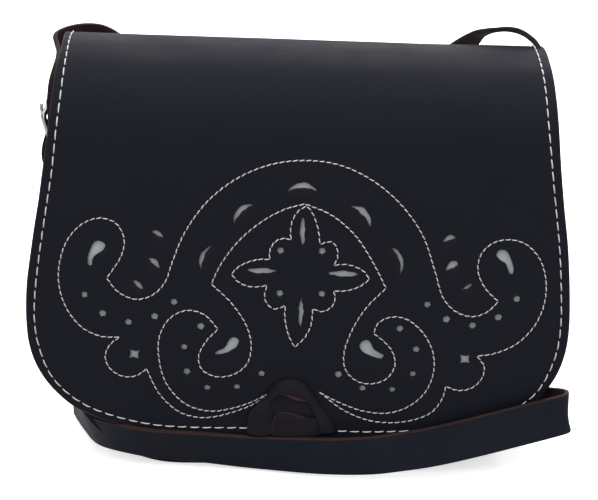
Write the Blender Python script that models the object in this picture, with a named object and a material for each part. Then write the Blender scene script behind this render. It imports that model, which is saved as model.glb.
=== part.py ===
"""Leather flap shoulder bag with a cut-work flap, a leather knot closure and a buckled strap.

Metres, +Z up. The bag stands on its base with its front towards -Y.
The origin is the middle of the flat base.
"""

import math

import bmesh
import bpy
from mathutils import Matrix, Vector, geometry

MM = 0.001

# Clearances
seat_gap = 0.3 * MM            # between pieces that touch
cut_overrun = 1.0 * MM         # how far a cutter passes the faces it cuts

# Body
body_half = 124 * MM           # half width over the gusset
body_depth = 60 * MM           # width of the gusset strip
corner_radius = 60 * MM        # lower corners of the body
bag_height = 218 * MM          # top fold of the leather
front_drop = 36 * MM           # top edge of the front panel, below the fold
side_drop = 14 * MM            # top of the gusset at the back, below the fold
panel_thick = 2.2 * MM
gusset_thick = 2.0 * MM
flange_depth = 9 * MM          # turned-in edge of the gusset
flange_thick = 1.6 * MM

# Flap
flap_half = 140.5 * MM         # half width where the flap is widest
flap_stand = 12.5 * MM         # how far its belly stands off the front panel
fold_inset = 8 * MM            # hinge line, measured in from the back of the gusset
fold_gap = 1.0 * MM            # slit between the fold and the flap at the hinge line
fold_drop = 11 * MM            # height of the rounded fold at the back
hide_thick = 2.0 * MM          # cut leather
inlay_thick = 0.8 * MM         # pale leather behind the cuts
lining_thick = 1.0 * MM
lining_inset = 1.2 * MM        # lining edge, inside the flap edge
inlay_inset = 9 * MM           # inlay edge, inside the flap edge
inlay_drop = 48.1 * MM         # top of the inlay, below the flap's whole rise
flap_clear = 0.5 * MM          # flap edge above the strap that lies in front of it

# Cut-outs in the flap
dot_radius = 1.9 * MM
petal_slit = (15.5 * MM, 3.0 * MM)
moon_cut = (15.0 * MM, 3.2 * MM)
small_moon_cut = (8.0 * MM, 2.4 * MM)
drop_cut = (13.5 * MM, 6.2 * MM)
star_radius = 2.9 * MM
star_waist = 1 / 3             # share of the star's radius between its points
drop_open = 70                 # degrees, where the teardrop's head starts

# Leather knot
knot_x = -1.5 * MM             # middle of the loop
knot_rise = 22 * MM            # centre of the loop above the flap edge
loop_radius = 12.6 * MM
loop_hole_radius = 4.6 * MM
loop_thick = 2.2 * MM
collar_thick = 1.8 * MM
tail_thick = 2.0 * MM
knot_foot = 9 * MM             # lower ends of the loop, above the flap edge
tail_foot = 1.5 * MM

# Magnetic snap
snap_rise = 13 * MM            # above the flap edge
snap_radius = 8 * MM
socket_thick = 2.4 * MM
snap_air = 0.5 * MM
shank_radius = 2.5 * MM
washer_radius = 7 * MM
washer_thick = 0.8 * MM
nub_radius = 2.4 * MM
nub_length = 1.3 * MM
nub_clear = 0.9 * MM

# Strap and its fittings
strap_width = 19 * MM
strap_thick = 2.2 * MM
strap_lift = 0.4 * MM          # lower edge above the floor
strap_out = 18 * MM            # how far the strap reaches beyond the body's sides
strap_back = 16.5 * MM         # how far it reaches beyond the gusset's front and back
chape_thick = 1.8 * MM
chape_run = 59 * MM            # lower end of the folded leather, below the buckle bar
chape_lap = 22 * MM            # outer layer below the buckle bar
bar_drop = 53 * MM             # buckle bar below the top fold
buckle_length = 22 * MM        # between the bar and the far bar
wire_radius = 1.5 * MM
prong_radius = 0.9 * MM
prong_run = 0.15 * MM          # running clearance of the prong on the bar
prong_swing = 6                # degrees that the prong can lift in the strap's slot
prong_wrap = (110, 360)        # degrees of the bar that the prong's eye goes round
keeper_height = 8 * MM
keeper_thick = 1.2 * MM
keeper_run = 19 * MM           # keeper's lower edge below the buckle bar
tip_run = 31 * MM              # strap's tip below the buckle bar
end_drop = 78 * MM             # fixed end on the right side, below the top fold
rivet_radius = 3.6 * MM
rivet_shank = 1.4 * MM
rivet_dome = 1.2 * MM
rivet_margin = 8 * MM          # first rivet's centre from the leather's end
rivet_pitch = 11 * MM
end_rivet_pitch = 12 * MM

# Derived places
front_height = bag_height - front_drop
side_height = bag_height - side_drop
bar_height = bag_height - bar_drop
chape_low = bar_height - chape_run
keeper_low = bar_height - keeper_run
strap_tip = bar_height - tip_run
strap_end = bag_height - end_drop
rivet_heights = (chape_low + rivet_margin, chape_low + rivet_margin + rivet_pitch)
end_rivet_heights = (strap_end + rivet_margin, strap_end + rivet_margin + end_rivet_pitch)
panel_face = body_depth / 2 + seat_gap + panel_thick
flap_bottom = strap_lift + strap_width + flap_clear
flap_rise = bag_height - flap_bottom
inlay_height = flap_rise - inlay_drop
hinge_y = body_depth / 2 - fold_inset
flap_reach = hinge_y + panel_face + flap_stand
inlay_depth = hide_thick + seat_gap
lining_depth = inlay_depth + inlay_thick + seat_gap
flap_depth = lining_depth + lining_thick

# Side view of the flap from the hinge line down: shares of its reach and of its rise
flap_side_share = [
    (0.000, 1.000), (0.300, 0.992), (0.567, 0.967), (0.746, 0.922), (0.866, 0.856),
    (0.933, 0.770), (0.985, 0.566), (1.000, 0.364), (0.985, 0.203), (0.955, 0.122),
    (0.955, 0.000)]

# Side view of the rounded fold: shares of its run back and of its drop
fold_side_share = [(0.00, 0.00), (0.50, 0.14), (0.87, 0.50), (1.00, 1.00)]

# Half of the flap's outline from the hinge line down:
# shares of its half width and of its length, measured up from the lower edge
flap_edge_share = [
    (0.907, 1.000), (0.907, 0.880), (0.914, 0.770), (0.923, 0.660), (0.945, 0.560),
    (0.975, 0.450), (0.996, 0.345), (1.000, 0.265), (0.992, 0.205), (0.968, 0.159),
    (0.932, 0.119), (0.880, 0.084), (0.800, 0.052), (0.690, 0.027), (0.550, 0.010),
    (0.400, 0.002), (0.200, 0.000)]

# Cut-outs, right half: places as shares of half width and length, turns in degrees
dot_share = [
    (0.076, 0.440), (0.077, 0.343), (0.794, 0.335), (0.729, 0.292), (0.635, 0.273),
    (0.538, 0.287), (0.466, 0.321), (0.367, 0.264), (0.430, 0.216), (0.421, 0.157),
    (0.346, 0.117), (0.235, 0.120), (0.143, 0.154)]
moon_share = [(0.213, 0.528, -42), (0.346, 0.422, -68)]
small_moon_share = [(0.530, 0.469, 22), (0.544, 0.408, 40), (0.605, 0.359, 32)]
drop_share = [(0.752, 0.420, -64), (0.278, 0.212, -38)]
star_share = [(0.610, 0.191)]
petal_share = [(0.002, 0.485, 90), (0.002, 0.299, 90), (0.148, 0.392, 0), (-0.148, 0.392, 0)]
top_moon_share = (0.000, 0.581, 0)

# Knot outlines: shares of the loop's outer radius, measured from the loop's centre
collar_share = [(-1.40, -1.05), (0.95, -1.05), (1.08, -0.50), (1.00, -0.12), (0.20, -0.08),
                (-0.80, -0.08), (-1.36, -0.20)]
tail_left_share = [(-1.93, -1.60), (-0.86, -1.60), (-0.84, -0.40), (-0.95, -0.26), (-1.70, -0.26),
                   (-1.86, -0.42)]
tail_right_share = [(-0.80, -1.60), (1.62, -1.60), (1.50, -1.05), (1.25, -0.66), (0.90, -0.52),
                    (0.30, -0.58), (-0.30, -0.50), (-0.79, -0.46)]

# Middle line of the strap from the left arch round to the right arch: shares of its reach
# sideways, of its reach in depth and of its height, then the way its grain side faces
strap_route_share = [
    (-0.923, 0.108, 0.986, -0.97, 0.00, 0.25), (-0.932, 0.301, 1.005, -0.93, 0.00, 0.37),
    (-0.935, 0.538, 1.010, -0.90, 0.15, 0.40), (-0.905, 0.763, 1.007, -0.60, 0.65, 0.45),
    (-0.842, 0.903, 0.993, -0.20, 0.95, 0.25), (-0.768, 0.946, 0.959, 0.00, 1.00, 0.08),
    (-0.690, 0.946, 0.909, 0.00, 1.00, 0.00), (-0.563, 0.925, 0.825, 0.00, 1.00, 0.00),
    (-0.352, 0.892, 0.678, 0.00, 1.00, 0.00), (-0.106, 0.849, 0.519, 0.00, 1.00, 0.00),
    (0.141, 0.828, 0.375, 0.00, 1.00, 0.00), (0.423, 0.828, 0.231, 0.00, 1.00, 0.00),
    (0.676, 0.839, 0.123, 0.00, 1.00, 0.00), (0.845, 0.817, 0.063, 0.25, 0.95, 0.00),
    (0.954, 0.624, 0.034, 0.85, 0.50, 0.00), (1.000, 0.344, 0.029, 1.00, 0.00, 0.00),
    (0.996, 0.065, 0.032, 0.96, -0.25, 0.00), (0.951, -0.237, 0.037, 0.80, -0.60, 0.00),
    (0.877, -0.566, 0.040, 0.72, -0.70, 0.00), (0.789, -0.809, 0.040, 0.50, -0.86, 0.00),
    (0.704, -0.867, 0.032, 0.32, -0.95, 0.00), (0.620, -0.931, 0.019, 0.22, -0.97, 0.00),
    (0.535, -0.972, 0.009, 0.14, -0.99, 0.00), (0.437, -1.009, 0.002, 0.08, -1.00, 0.00),
    (0.317, -1.030, 0.000, 0.04, -1.00, 0.00), (0.155, -1.037, 0.000, 0.00, -1.00, 0.00),
    (0.000, -1.026, 0.000, 0.00, -1.00, 0.00), (-0.155, -1.006, 0.000, -0.02, -1.00, 0.00),
    (-0.296, -0.985, 0.000, -0.03, -1.00, 0.00), (-0.408, -0.968, 0.002, -0.04, -1.00, 0.00),
    (-0.507, -0.959, 0.006, -0.04, -1.00, 0.00), (-0.592, -0.951, 0.013, -0.06, -1.00, 0.00),
    (-0.662, -0.933, 0.024, -0.15, -0.99, 0.00), (-0.725, -0.895, 0.037, -0.28, -0.96, 0.00),
    (-0.785, -0.834, 0.053, -0.42, -0.91, 0.00), (-0.845, -0.735, 0.073, -0.62, -0.78, 0.00),
    (-0.891, -0.559, 0.094, -0.87, -0.50, 0.00), (-0.914, -0.280, 0.123, -1.00, -0.10, 0.00),
    (-0.917, 0.022, 0.154, -1.00, 0.00, 0.00), (-0.915, 0.323, 0.185, -1.00, 0.05, 0.00),
    (-0.898, 0.613, 0.217, -0.82, 0.57, 0.00), (-0.842, 0.828, 0.248, -0.38, 0.92, 0.00),
    (-0.754, 0.935, 0.284, -0.12, 0.99, 0.00), (-0.620, 1.000, 0.342, 0.00, 1.00, 0.00),
    (-0.352, 1.032, 0.452, 0.00, 1.00, 0.00), (-0.070, 1.032, 0.584, 0.00, 1.00, 0.00),
    (0.211, 1.022, 0.721, 0.00, 1.00, 0.00), (0.408, 1.011, 0.825, 0.00, 1.00, 0.00),
    (0.563, 1.000, 0.909, 0.00, 1.00, 0.05), (0.669, 0.989, 0.962, 0.00, 0.97, 0.25),
    (0.754, 0.946, 0.998, 0.03, 0.80, 0.60), (0.831, 0.849, 1.014, 0.20, 0.60, 0.78),
    (0.898, 0.763, 1.014, 0.50, 0.60, 0.62), (0.939, 0.559, 1.000, 0.90, 0.25, 0.36),
    (0.949, 0.366, 0.980, 0.95, 0.06, 0.30), (0.949, 0.194, 0.953, 0.97, 0.00, 0.20),
    (0.945, 0.075, 0.928, 0.99, 0.00, 0.10), (0.930, 0.011, 0.887, 1.00, 0.00, 0.00)]
route_steps = 2                # sections between two points of the route

# Colours and finishes
black_leather = (0.016, 0.017, 0.022, 1.0)
brown_leather = (0.060, 0.028, 0.020, 1.0)
pale_leather = (0.42, 0.47, 0.46, 1.0)
lining_colour = (0.035, 0.030, 0.030, 1.0)
dark_metal = (0.16, 0.15, 0.15, 1.0)


def clear_scene():
    for item in list(bpy.data.objects):
        bpy.data.objects.remove(item, do_unlink=True)


def material(name, colour, roughness, metallic=0.0):
    made = bpy.data.materials.new(name)
    made.use_nodes = True
    shader = made.node_tree.nodes["Principled BSDF"]
    shader.inputs["Base Color"].default_value = colour
    shader.inputs["Roughness"].default_value = roughness
    shader.inputs["Metallic"].default_value = metallic
    made.diffuse_color = colour
    return made


def add_object(name, data, look, place=(0, 0, 0)):
    data.materials.append(material(name, *look))
    made = bpy.data.objects.new(name, data)
    made.location = place
    bpy.context.scene.collection.objects.link(made)
    return made


def mesh_from(name, bm):
    bmesh.ops.recalc_face_normals(bm, faces=bm.faces)
    mesh = bpy.data.meshes.new(name)
    bm.to_mesh(mesh)
    bm.free()
    return mesh


def loft(name, rings, closed=False):
    """Mesh through rings of equally many points, capped unless the rings close on themselves."""
    bm = bmesh.new()
    rows = [[bm.verts.new(point) for point in ring] for ring in rings]
    count = len(rings[0])
    pairs = list(zip(rows, rows[1:]))
    if closed:
        pairs.append((rows[-1], rows[0]))
    for low, high in pairs:
        for i in range(count):
            j = (i + 1) % count
            bm.faces.new((low[i], low[j], high[j], high[i]))
    if not closed:
        bm.faces.new(rows[0])
        bm.faces.new(rows[-1])
    return mesh_from(name, bm)


def turned(name, profile, sides):
    """Body turned about local Z from (radius, height) points that start and end on the axis."""
    bm = bmesh.new()
    tips = [bm.verts.new((0, 0, profile[k][1])) for k in (0, -1)]
    rows = []
    for radius, height in profile[1:-1]:
        turn = [math.tau * i / sides for i in range(sides)]
        rows.append([bm.verts.new((radius * math.cos(a), radius * math.sin(a), height)) for a in turn])
    for low, high in zip(rows, rows[1:]):
        for i in range(sides):
            j = (i + 1) % sides
            bm.faces.new((low[i], low[j], high[j], high[i]))
    for tip, row in zip(tips, (rows[0], rows[-1])):
        for i in range(sides):
            bm.faces.new((tip, row[i], row[(i + 1) % sides]))
    return mesh_from(name, bm)


def cutter(name, mesh, place=(0, 0, 0)):
    made = bpy.data.objects.new(name, mesh)
    made.location = place
    made.hide_render = True
    made.display_type = "WIRE"
    bpy.context.scene.collection.objects.link(made)
    return made


def cut(target, tool):
    step = target.modifiers.new("cut_" + tool.name, "BOOLEAN")
    step.operation = "DIFFERENCE"
    step.solver = "EXACT"
    step.object = tool


def block(name, low, high):
    bm = bmesh.new()
    bmesh.ops.create_cube(bm, size=1.0)
    middle = [(a + b) / 2 for a, b in zip(low, high)]
    span = [b - a for a, b in zip(low, high)]
    for vert in bm.verts:
        vert.co = Vector([m + s * c for m, s, c in zip(middle, span, vert.co)])
    return mesh_from(name, bm)


def offset_line(line, distance):
    """Points of a side view moved inwards, with mitred corners."""
    steps = [(b - a).normalized() for a, b in zip(line, line[1:])]
    moved = []
    for i, point in enumerate(line):
        before = steps[max(i - 1, 0)]
        after = steps[min(i, len(steps) - 1)]
        facing = Vector((before.y, -before.x)) + Vector((after.y, -after.x))
        facing.normalize()
        lean = facing.dot(Vector((after.y, -after.x)))
        moved.append(point - facing * (distance / lean))
    return moved


class SideView:
    """A bent sheet's side view: places along it are lengths from its upper end."""

    def __init__(self, line):
        self.line = line
        self.marks = [0.0]
        for a, b in zip(line, line[1:]):
            self.marks.append(self.marks[-1] + (b - a).length)
        self.length = self.marks[-1]

    def place(self, along, depth):
        line = offset_line(self.line, depth)
        for i in range(len(self.marks) - 1):
            if along <= self.marks[i + 1] or i == len(self.marks) - 2:
                share = (along - self.marks[i]) / (self.marks[i + 1] - self.marks[i])
                return line[i].lerp(line[i + 1], share)


def inside(point, loop):
    """True where a flat point lies inside a closed outline."""
    hit = False
    for a, b in zip(loop, loop[1:] + loop[:1]):
        if (a[1] > point[1]) != (b[1] > point[1]):
            if point[0] < a[0] + (b[0] - a[0]) * (point[1] - a[1]) / (b[1] - a[1]):
                hit = not hit
    return hit


def bent_sheet(name, side, outline, holes, outer, inner):
    """Sheet with a flat outline (x, along) and holes, bent along a side view."""
    widest = max(abs(point[0]) for point in outline) * 2
    low = min(point[1] for point in outline)
    high = max(point[1] for point in outline)
    verts = []
    edges = []
    for loop in [outline] + holes:
        start = len(verts)
        verts += [Vector((x / MM, s / MM)) for x, s in loop]
        edges += [(start + i, start + (i + 1) % len(loop)) for i in range(len(loop))]
    for mark in side.marks[1:-1]:
        if low < mark < high:
            edges.append((len(verts), len(verts) + 1))
            verts += [Vector((-widest / MM, mark / MM)), Vector((widest / MM, mark / MM))]
    flat, _, faces, _, _, _ = geometry.delaunay_2d_cdt(verts, edges, [], 0, seat_gap)
    kept = []
    for face in faces:
        middle = sum((flat[i] for i in face), Vector((0, 0))) / len(face)
        middle = (middle.x * MM, middle.y * MM)
        if inside(middle, outline) and not any(inside(middle, hole) for hole in holes):
            kept.append(face)
    used = sorted({i for face in kept for i in face})
    bm = bmesh.new()
    sheets = []
    for depth in (outer, inner):
        row = {}
        for i in used:
            y, z = side.place(flat[i].y * MM, depth)
            row[i] = bm.verts.new((flat[i].x * MM, y, z))
        sheets.append(row)
    borders = {}
    for face in kept:
        bm.faces.new([sheets[0][i] for i in face])
        bm.faces.new([sheets[1][i] for i in reversed(face)])
        for a, b in zip(face, face[1:] + face[:1]):
            if (b, a) in borders:
                del borders[(b, a)]
            else:
                borders[(a, b)] = True
    for a, b in borders:
        bm.faces.new((sheets[0][b], sheets[0][a], sheets[1][a], sheets[1][b]))
    return mesh_from(name, bm)


def body_outline(half, height, radius, steps=8):
    """U outline (x, z), from the upper left down, along the base and up to the upper right."""
    left = [(-half, height)]
    for i in range(steps + 1):
        angle = math.pi + math.pi / 2 * i / steps
        left.append((-half + radius + radius * math.cos(angle), radius + radius * math.sin(angle)))
    return left + [(-x, z) for x, z in reversed(left)]


def inset_loop(loop, distance):
    """Closed outline moved inwards by one distance."""
    points = [Vector(point) for point in loop]
    area = sum(a.x * b.y - b.x * a.y for a, b in zip(points, points[1:] + points[:1]))
    sign = 1 if area > 0 else -1
    moved = []
    for before, here, after in zip(points[-1:] + points[:-1], points, points[1:] + points[:1]):
        a = (here - before).normalized()
        b = (after - here).normalized()
        facing = Vector((-a.y - b.y, a.x + b.x)).normalized() * sign
        lean = facing.dot(Vector((-b.y, b.x)) * sign)
        moved.append(tuple(here + facing * (distance / lean)))
    return moved


def flap_side():
    line = []
    for reach, rise in flap_side_share:
        line.append(Vector((hinge_y - reach * flap_reach, flap_bottom + rise * flap_rise)))
    return SideView(line)


def flap_outline(side):
    half = [(x * flap_half, (1 - up) * side.length) for x, up in flap_edge_share]
    half[0] = (half[0][0], seat_gap)
    return half + [(-x, s) for x, s in reversed(half)]


def place_on_flap(side, x_share, up_share):
    return x_share * flap_half, (1 - up_share) * side.length


def placed(points, middle, turn):
    """Outline points turned about their middle and moved to it on the flat flap."""
    cos, sin = math.cos(math.radians(turn)), math.sin(math.radians(turn))
    return [(middle[0] + x * cos - u * sin, middle[1] - x * sin - u * cos) for x, u in points]


def dot_points(radius, sides=7):
    turn = [math.tau * i / sides for i in range(sides)]
    return [(radius * math.cos(a), radius * math.sin(a)) for a in turn]


def slit_points(length, width, steps=4):
    """Pointed slit: two shallow arcs that meet in its tips."""
    upper = []
    for i in range(steps):
        share = i / steps
        upper.append((-length / 2 + share * length, width / 2 * math.sin(math.pi * share)))
    return upper + [(-x, -u) for x, u in upper]


def moon_points(length, width, steps=5):
    """Crescent with its horns down."""
    outer = []
    inner = []
    for i in range(steps + 1):
        share = i / steps
        x = -length / 2 + share * length
        bow = math.sin(math.pi * share)
        outer.append((x, bow * width - width / 2))
        inner.append((x, bow * width / 4 - width / 2))
    return outer + inner[-2:0:-1]


def drop_points(length, width, steps=8):
    """Teardrop with its round head at the left and its tip at the right."""
    radius = width / 2
    points = [(length - radius, 0)]
    for i in range(steps + 1):
        angle = math.radians(drop_open + (360 - 2 * drop_open) * i / steps)
        points.append((radius * math.cos(angle), radius * math.sin(angle)))
    return points


def star_points(radius):
    points = []
    for i in range(8):
        reach = radius if i % 2 == 0 else radius * star_waist
        angle = math.tau * i / 8
        points.append((reach * math.cos(angle), reach * math.sin(angle)))
    return points


def mirrored(loop):
    return [(-x, s) for x, s in reversed(loop)]


def flap_cuts(side):
    """All cut-outs of the ornament as closed outlines on the flat flap."""
    right = []
    for x, up in dot_share:
        right.append(placed(dot_points(dot_radius), place_on_flap(side, x, up), 0))
    shaped = ((moon_share, moon_points(*moon_cut)), (small_moon_share, moon_points(*small_moon_cut)),
              (drop_share, drop_points(*drop_cut)))
    for table, points in shaped:
        for x, up, turn in table:
            right.append(placed(points, place_on_flap(side, x, up), turn))
    for x, up in star_share:
        right.append(placed(star_points(star_radius), place_on_flap(side, x, up), 0))
    cuts = right + [mirrored(loop) for loop in right]
    for x, up, turn in petal_share:
        cuts.append(placed(slit_points(*petal_slit), place_on_flap(side, x, up), turn))
    x, up, turn = top_moon_share
    cuts.append(placed(moon_points(*moon_cut), place_on_flap(side, x, up), turn))
    return cuts


def make_flap(side):
    outline = flap_outline(side)
    leather = bent_sheet("flap_cutwork", side, outline, flap_cuts(side), 0, hide_thick)
    pieces = [add_object("flap_cutwork", leather, (black_leather, 0.42))]
    front = inset_loop(outline, inlay_inset)
    top = side.length - inlay_height
    edge = max(point[0] for point in front if point[1] < top)
    patch = [(edge, top)] + [point for point in front if point[1] > top] + [(-edge, top)]
    inlay = bent_sheet("flap_inlay", side, patch, [], inlay_depth, inlay_depth + inlay_thick)
    pieces.append(add_object("flap_inlay", inlay, (pale_leather, 0.6)))
    back = inset_loop(outline, lining_inset)
    lining = bent_sheet("flap_lining", side, back, [], lining_depth, flap_depth)
    pieces.append(add_object("flap_lining", lining, (lining_colour, 0.8)))
    return pieces


def knot_outline(side, table):
    """Knot piece on the flat flap from shares of the loop's radius."""
    base = side.length - knot_rise
    return [(knot_x + x * loop_radius, base - up * loop_radius) for x, up in table]


def make_knot(side):
    base = side.length - knot_rise
    foot = side.length - knot_foot
    steps = 12
    outer = []
    inner = []
    for i in range(steps + 1):
        angle = math.pi * i / steps
        outer.append((knot_x + loop_radius * math.cos(angle), base - loop_radius * math.sin(angle)))
        inner.append((knot_x + loop_hole_radius * math.cos(angle), base - loop_hole_radius * math.sin(angle)))
    ends = [(outer[-1][0], foot), (inner[-1][0], foot)]
    starts = [(inner[0][0], foot), (outer[0][0], foot)]
    loop = outer + ends + list(reversed(inner)) + starts
    look = (brown_leather, 0.5)
    low = -seat_gap
    high = low - loop_thick
    pieces = [add_object("knot_loop", bent_sheet("knot_loop", side, loop, [], high, low), look)]
    low = high - seat_gap
    high = low - collar_thick
    collar = bent_sheet("knot_collar", side, knot_outline(side, collar_share), [], high, low)
    pieces.append(add_object("knot_collar", collar, look))
    low = high - seat_gap
    high = low - tail_thick
    for name, table in (("knot_tail_left", tail_left_share), ("knot_tail_right", tail_right_share)):
        points = knot_outline(side, table)
        lowest = side.length - tail_foot
        points = [(x, min(s, lowest)) for x, s in points]
        pieces.append(add_object(name, bent_sheet(name, side, points, [], high, low), look))
    return pieces


def fold_side():
    """Side view of the back leather: from the hinge line over the fold and down to the base."""
    back = panel_face
    start = hinge_y + fold_gap
    run = back - start
    line = [Vector((start + y * run, bag_height - z * fold_drop)) for y, z in fold_side_share]
    return SideView(line + [Vector((back, 0))])


def make_body():
    look = (black_leather, 0.45)
    fold = fold_side()
    base = fold.length
    drop = bag_height - fold_drop
    lower = body_outline(body_half, drop, corner_radius)
    top_half = flap_half * flap_edge_share[0][0]
    straight = fold.marks[len(fold_side_share) - 1]
    outline = [(-top_half, 0)]
    outline += [(x, base - z) for x, z in lower]
    outline[1] = (-body_half, straight)
    outline[-1] = (body_half, straight)
    outline.append((top_half, 0))
    back = bent_sheet("back_panel", fold, outline, [], 0, -panel_thick)
    add_object("back_panel", back, look)
    rings = []
    for y in (-panel_face, -panel_face + panel_thick):
        rings.append([(x, y, z) for x, z in body_outline(body_half, front_height, corner_radius)])
    front = add_object("front_panel", loft("front_panel", rings), look)
    snap_hole = turned_hole("snap_hole", shank_radius + seat_gap, panel_thick)
    tool = cutter("snap_hole", snap_hole, (0, -panel_face + panel_thick / 2, flap_bottom + snap_rise))
    tool.rotation_euler = (math.radians(90), 0, 0)
    cut(front, tool)


def turned_hole(name, radius, depth, sides=16):
    half = depth / 2 + cut_overrun
    return turned(name, [(0, -half), (radius, -half), (radius, half), (0, half)], sides)


def make_gusset():
    """Strip with turned-in edges, swept round the body from the left top to the right top."""
    half_depth = body_depth / 2
    section = [(0, -half_depth), (0, half_depth), (flange_depth, half_depth),
               (flange_depth, half_depth - flange_thick), (gusset_thick, half_depth - flange_thick),
               (gusset_thick, -half_depth + flange_thick), (flange_depth, -half_depth + flange_thick),
               (flange_depth, -half_depth)]
    slope = (side_height - front_height) / body_depth
    paths = {}
    for inset, _ in section:
        radius = corner_radius - inset
        path = body_outline(body_half - inset, front_height - inset, radius)
        paths[inset] = [(x, z + inset) for x, z in path]
    rings = []
    count = len(paths[0])
    for i in range(count):
        ring = []
        for inset, y in section:
            x, z = paths[inset][i]
            if i in (0, count - 1):
                z = front_height + slope * (y + half_depth)
            ring.append((x, y, z))
        rings.append(ring)
    gusset = add_object("gusset", loft("gusset", rings), (black_leather, 0.5))
    for name, side, heights in (("left", -1, rivet_heights), ("right", 1, end_rivet_heights)):
        for i, height in enumerate(heights):
            hole = turned_hole("rivet_hole", rivet_shank + seat_gap, gusset_thick)
            middle = side * (body_half - gusset_thick / 2)
            tool = cutter("gusset_hole_%s_%d" % (name, i), hole, (middle, 0, height))
            tool.rotation_euler = (0, math.radians(90), 0)
            cut(gusset, tool)


def make_snap(side):
    """Two halves of the magnetic snap, and the washer that holds the lower one."""
    look = (dark_metal, 0.3, 1.0)
    height = flap_bottom + snap_rise
    sides = 24
    out = panel_thick + 2 * seat_gap + washer_thick
    face = seat_gap + socket_thick
    well = nub_radius + nub_clear
    depth = nub_length + seat_gap
    profile = [(0, -out), (shank_radius, -out), (shank_radius, seat_gap), (snap_radius, seat_gap),
               (snap_radius, face), (well, face), (well, face - depth), (0, face - depth)]
    socket = add_object("snap_socket", turned("snap_socket", profile, sides), look,
                        (0, -panel_face, height))
    socket.rotation_euler = (math.radians(90), 0, 0)
    hole = shank_radius + seat_gap
    rings = []
    for radius, level in ((hole, 0), (washer_radius, 0), (washer_radius, washer_thick), (hole, washer_thick)):
        turn = [math.tau * i / sides for i in range(sides)]
        rings.append([(radius * math.cos(a), radius * math.sin(a), level) for a in turn])
    washer = add_object("snap_washer", loft("snap_washer", rings, closed=True), look,
                        (0, -panel_face + panel_thick + seat_gap + washer_thick, height))
    washer.rotation_euler = (math.radians(90), 0, 0)
    inner_face = -side.place(side.length - snap_rise, flap_depth).x
    stud_face = panel_face + face + snap_air
    thick = inner_face - seat_gap - stud_face
    profile = [(0, -nub_length), (nub_radius, -nub_length), (nub_radius, 0), (snap_radius, 0),
               (snap_radius, thick), (0, thick)]
    stud = add_object("snap_stud", turned("snap_stud", profile, sides), look, (0, -stud_face, height))
    stud.rotation_euler = (math.radians(90), 0, 0)
    return stud


def strap_sections():
    """Places and facings of the strap's middle line, from its tip to its fixed end."""
    bulge = chape_out() + seat_gap + strap_thick / 2 + wire_radius
    rest = lap_face() + 2 * seat_gap + strap_thick / 2
    inner = seat_gap * 2 + strap_thick / 2
    far = bar_height + buckle_length
    rise = bag_height - far
    left = [(rest, strap_tip), (rest, strap_tip + (keeper_low - strap_tip) / 2),
            (rest, keeper_low), (rest, keeper_low + keeper_height),
            (bulge - wire_radius / 2, bar_height - wire_radius * 3), (bulge, bar_height),
            (bulge - wire_radius / 2, bar_height + buckle_length * 0.22),
            (bulge / 2 + inner / 2, bar_height + buckle_length * 0.5),
            (inner + wire_radius / 2, bar_height + buckle_length * 0.78), (inner, far),
            (inner + wire_radius * 0.2, far + rise * 0.25), (inner + wire_radius * 1.6, far + rise * 0.5),
            (inner + wire_radius * 2.7, far + rise * 0.72)]
    points = [(Vector((-body_half - u, 0, z)), Vector((-1, 0, 0))) for u, z in left]
    reach_x = body_half + strap_out
    reach_y = body_depth / 2 + strap_back
    low = strap_lift + strap_width / 2
    height = bag_height - low
    for x, y, z, nx, ny, nz in strap_route_share:
        points.append((Vector((x * reach_x, y * reach_y, low + z * height)), Vector((nx, ny, nz)).normalized()))
    seat = seat_gap + strap_thick / 2
    start = strap_end
    stop = front_height
    right = [(seat * 3, stop + strap_width / 3), (seat * 1.6, stop), (seat, stop - strap_width / 2),
             (seat, start + strap_width), (seat, start)]
    points += [(Vector((body_half + u, 0, z)), Vector((1, 0, 0))) for u, z in right]
    return points


def smooth_route(points, steps):
    """Catmull-Rom curve through places and facings."""
    route = []
    last = len(points) - 1
    for i in range(last):
        p0, p1, p2, p3 = (points[min(max(k, 0), last)] for k in (i - 1, i, i + 1, i + 2))
        for step in range(steps):
            t = step / steps
            both = []
            for a, b, c, d in zip(p0, p1, p2, p3):
                both.append(0.5 * (2 * b + (c - a) * t + (2 * a - 5 * b + 4 * c - d) * t ** 2
                                   + (3 * b - 3 * c + d - a) * t ** 3))
            route.append((both[0], both[1].normalized()))
    route.append(points[-1])
    return route


def make_strap():
    """Flat strap with a rounded tip, rivet holes at its fixed end and a slot for the prong."""
    route = smooth_route(strap_sections(), route_steps)
    length = 0
    rings = []
    for i, (place, facing) in enumerate(route):
        before = route[max(i - 1, 0)][0]
        after = route[min(i + 1, len(route) - 1)][0]
        along = (after - before).normalized()
        facing = (facing - along * facing.dot(along)).normalized()
        across = along.cross(facing)
        length += (place - before).length
        narrow = min(1, 0.45 + length / strap_width)
        half = across * (strap_width / 2 * narrow)
        thick = facing * (strap_thick / 2)
        rings.append([place - half - thick, place + half - thick, place + half + thick,
                      place - half + thick])
    print("strap length in metres: %.4f" % length)
    strap = add_object("shoulder_strap", loft("shoulder_strap", rings), (black_leather, 0.5))
    for i, height in enumerate(end_rivet_heights):
        hole = turned_hole("strap_hole", rivet_shank + seat_gap, strap_thick)
        tool = cutter("strap_hole_%d" % i, hole, (body_half + seat_gap + strap_thick / 2, 0, height))
        tool.rotation_euler = (0, math.radians(90), 0)
        cut(strap, tool)
    cut(strap, prong_slot())


def bar_out():
    """Buckle bar's centre, measured out from the gusset."""
    return seat_gap + chape_thick + seat_gap + wire_radius


def chape_out():
    """Outer face of the chape's fold round the bar."""
    return bar_out() + wire_radius + seat_gap + chape_thick


def keeper_in():
    return seat_gap + chape_thick + seat_gap


def lap_face():
    """Outer face of the chape's outer layer, over the keeper."""
    return keeper_in() + keeper_thick + seat_gap + chape_thick


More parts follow.
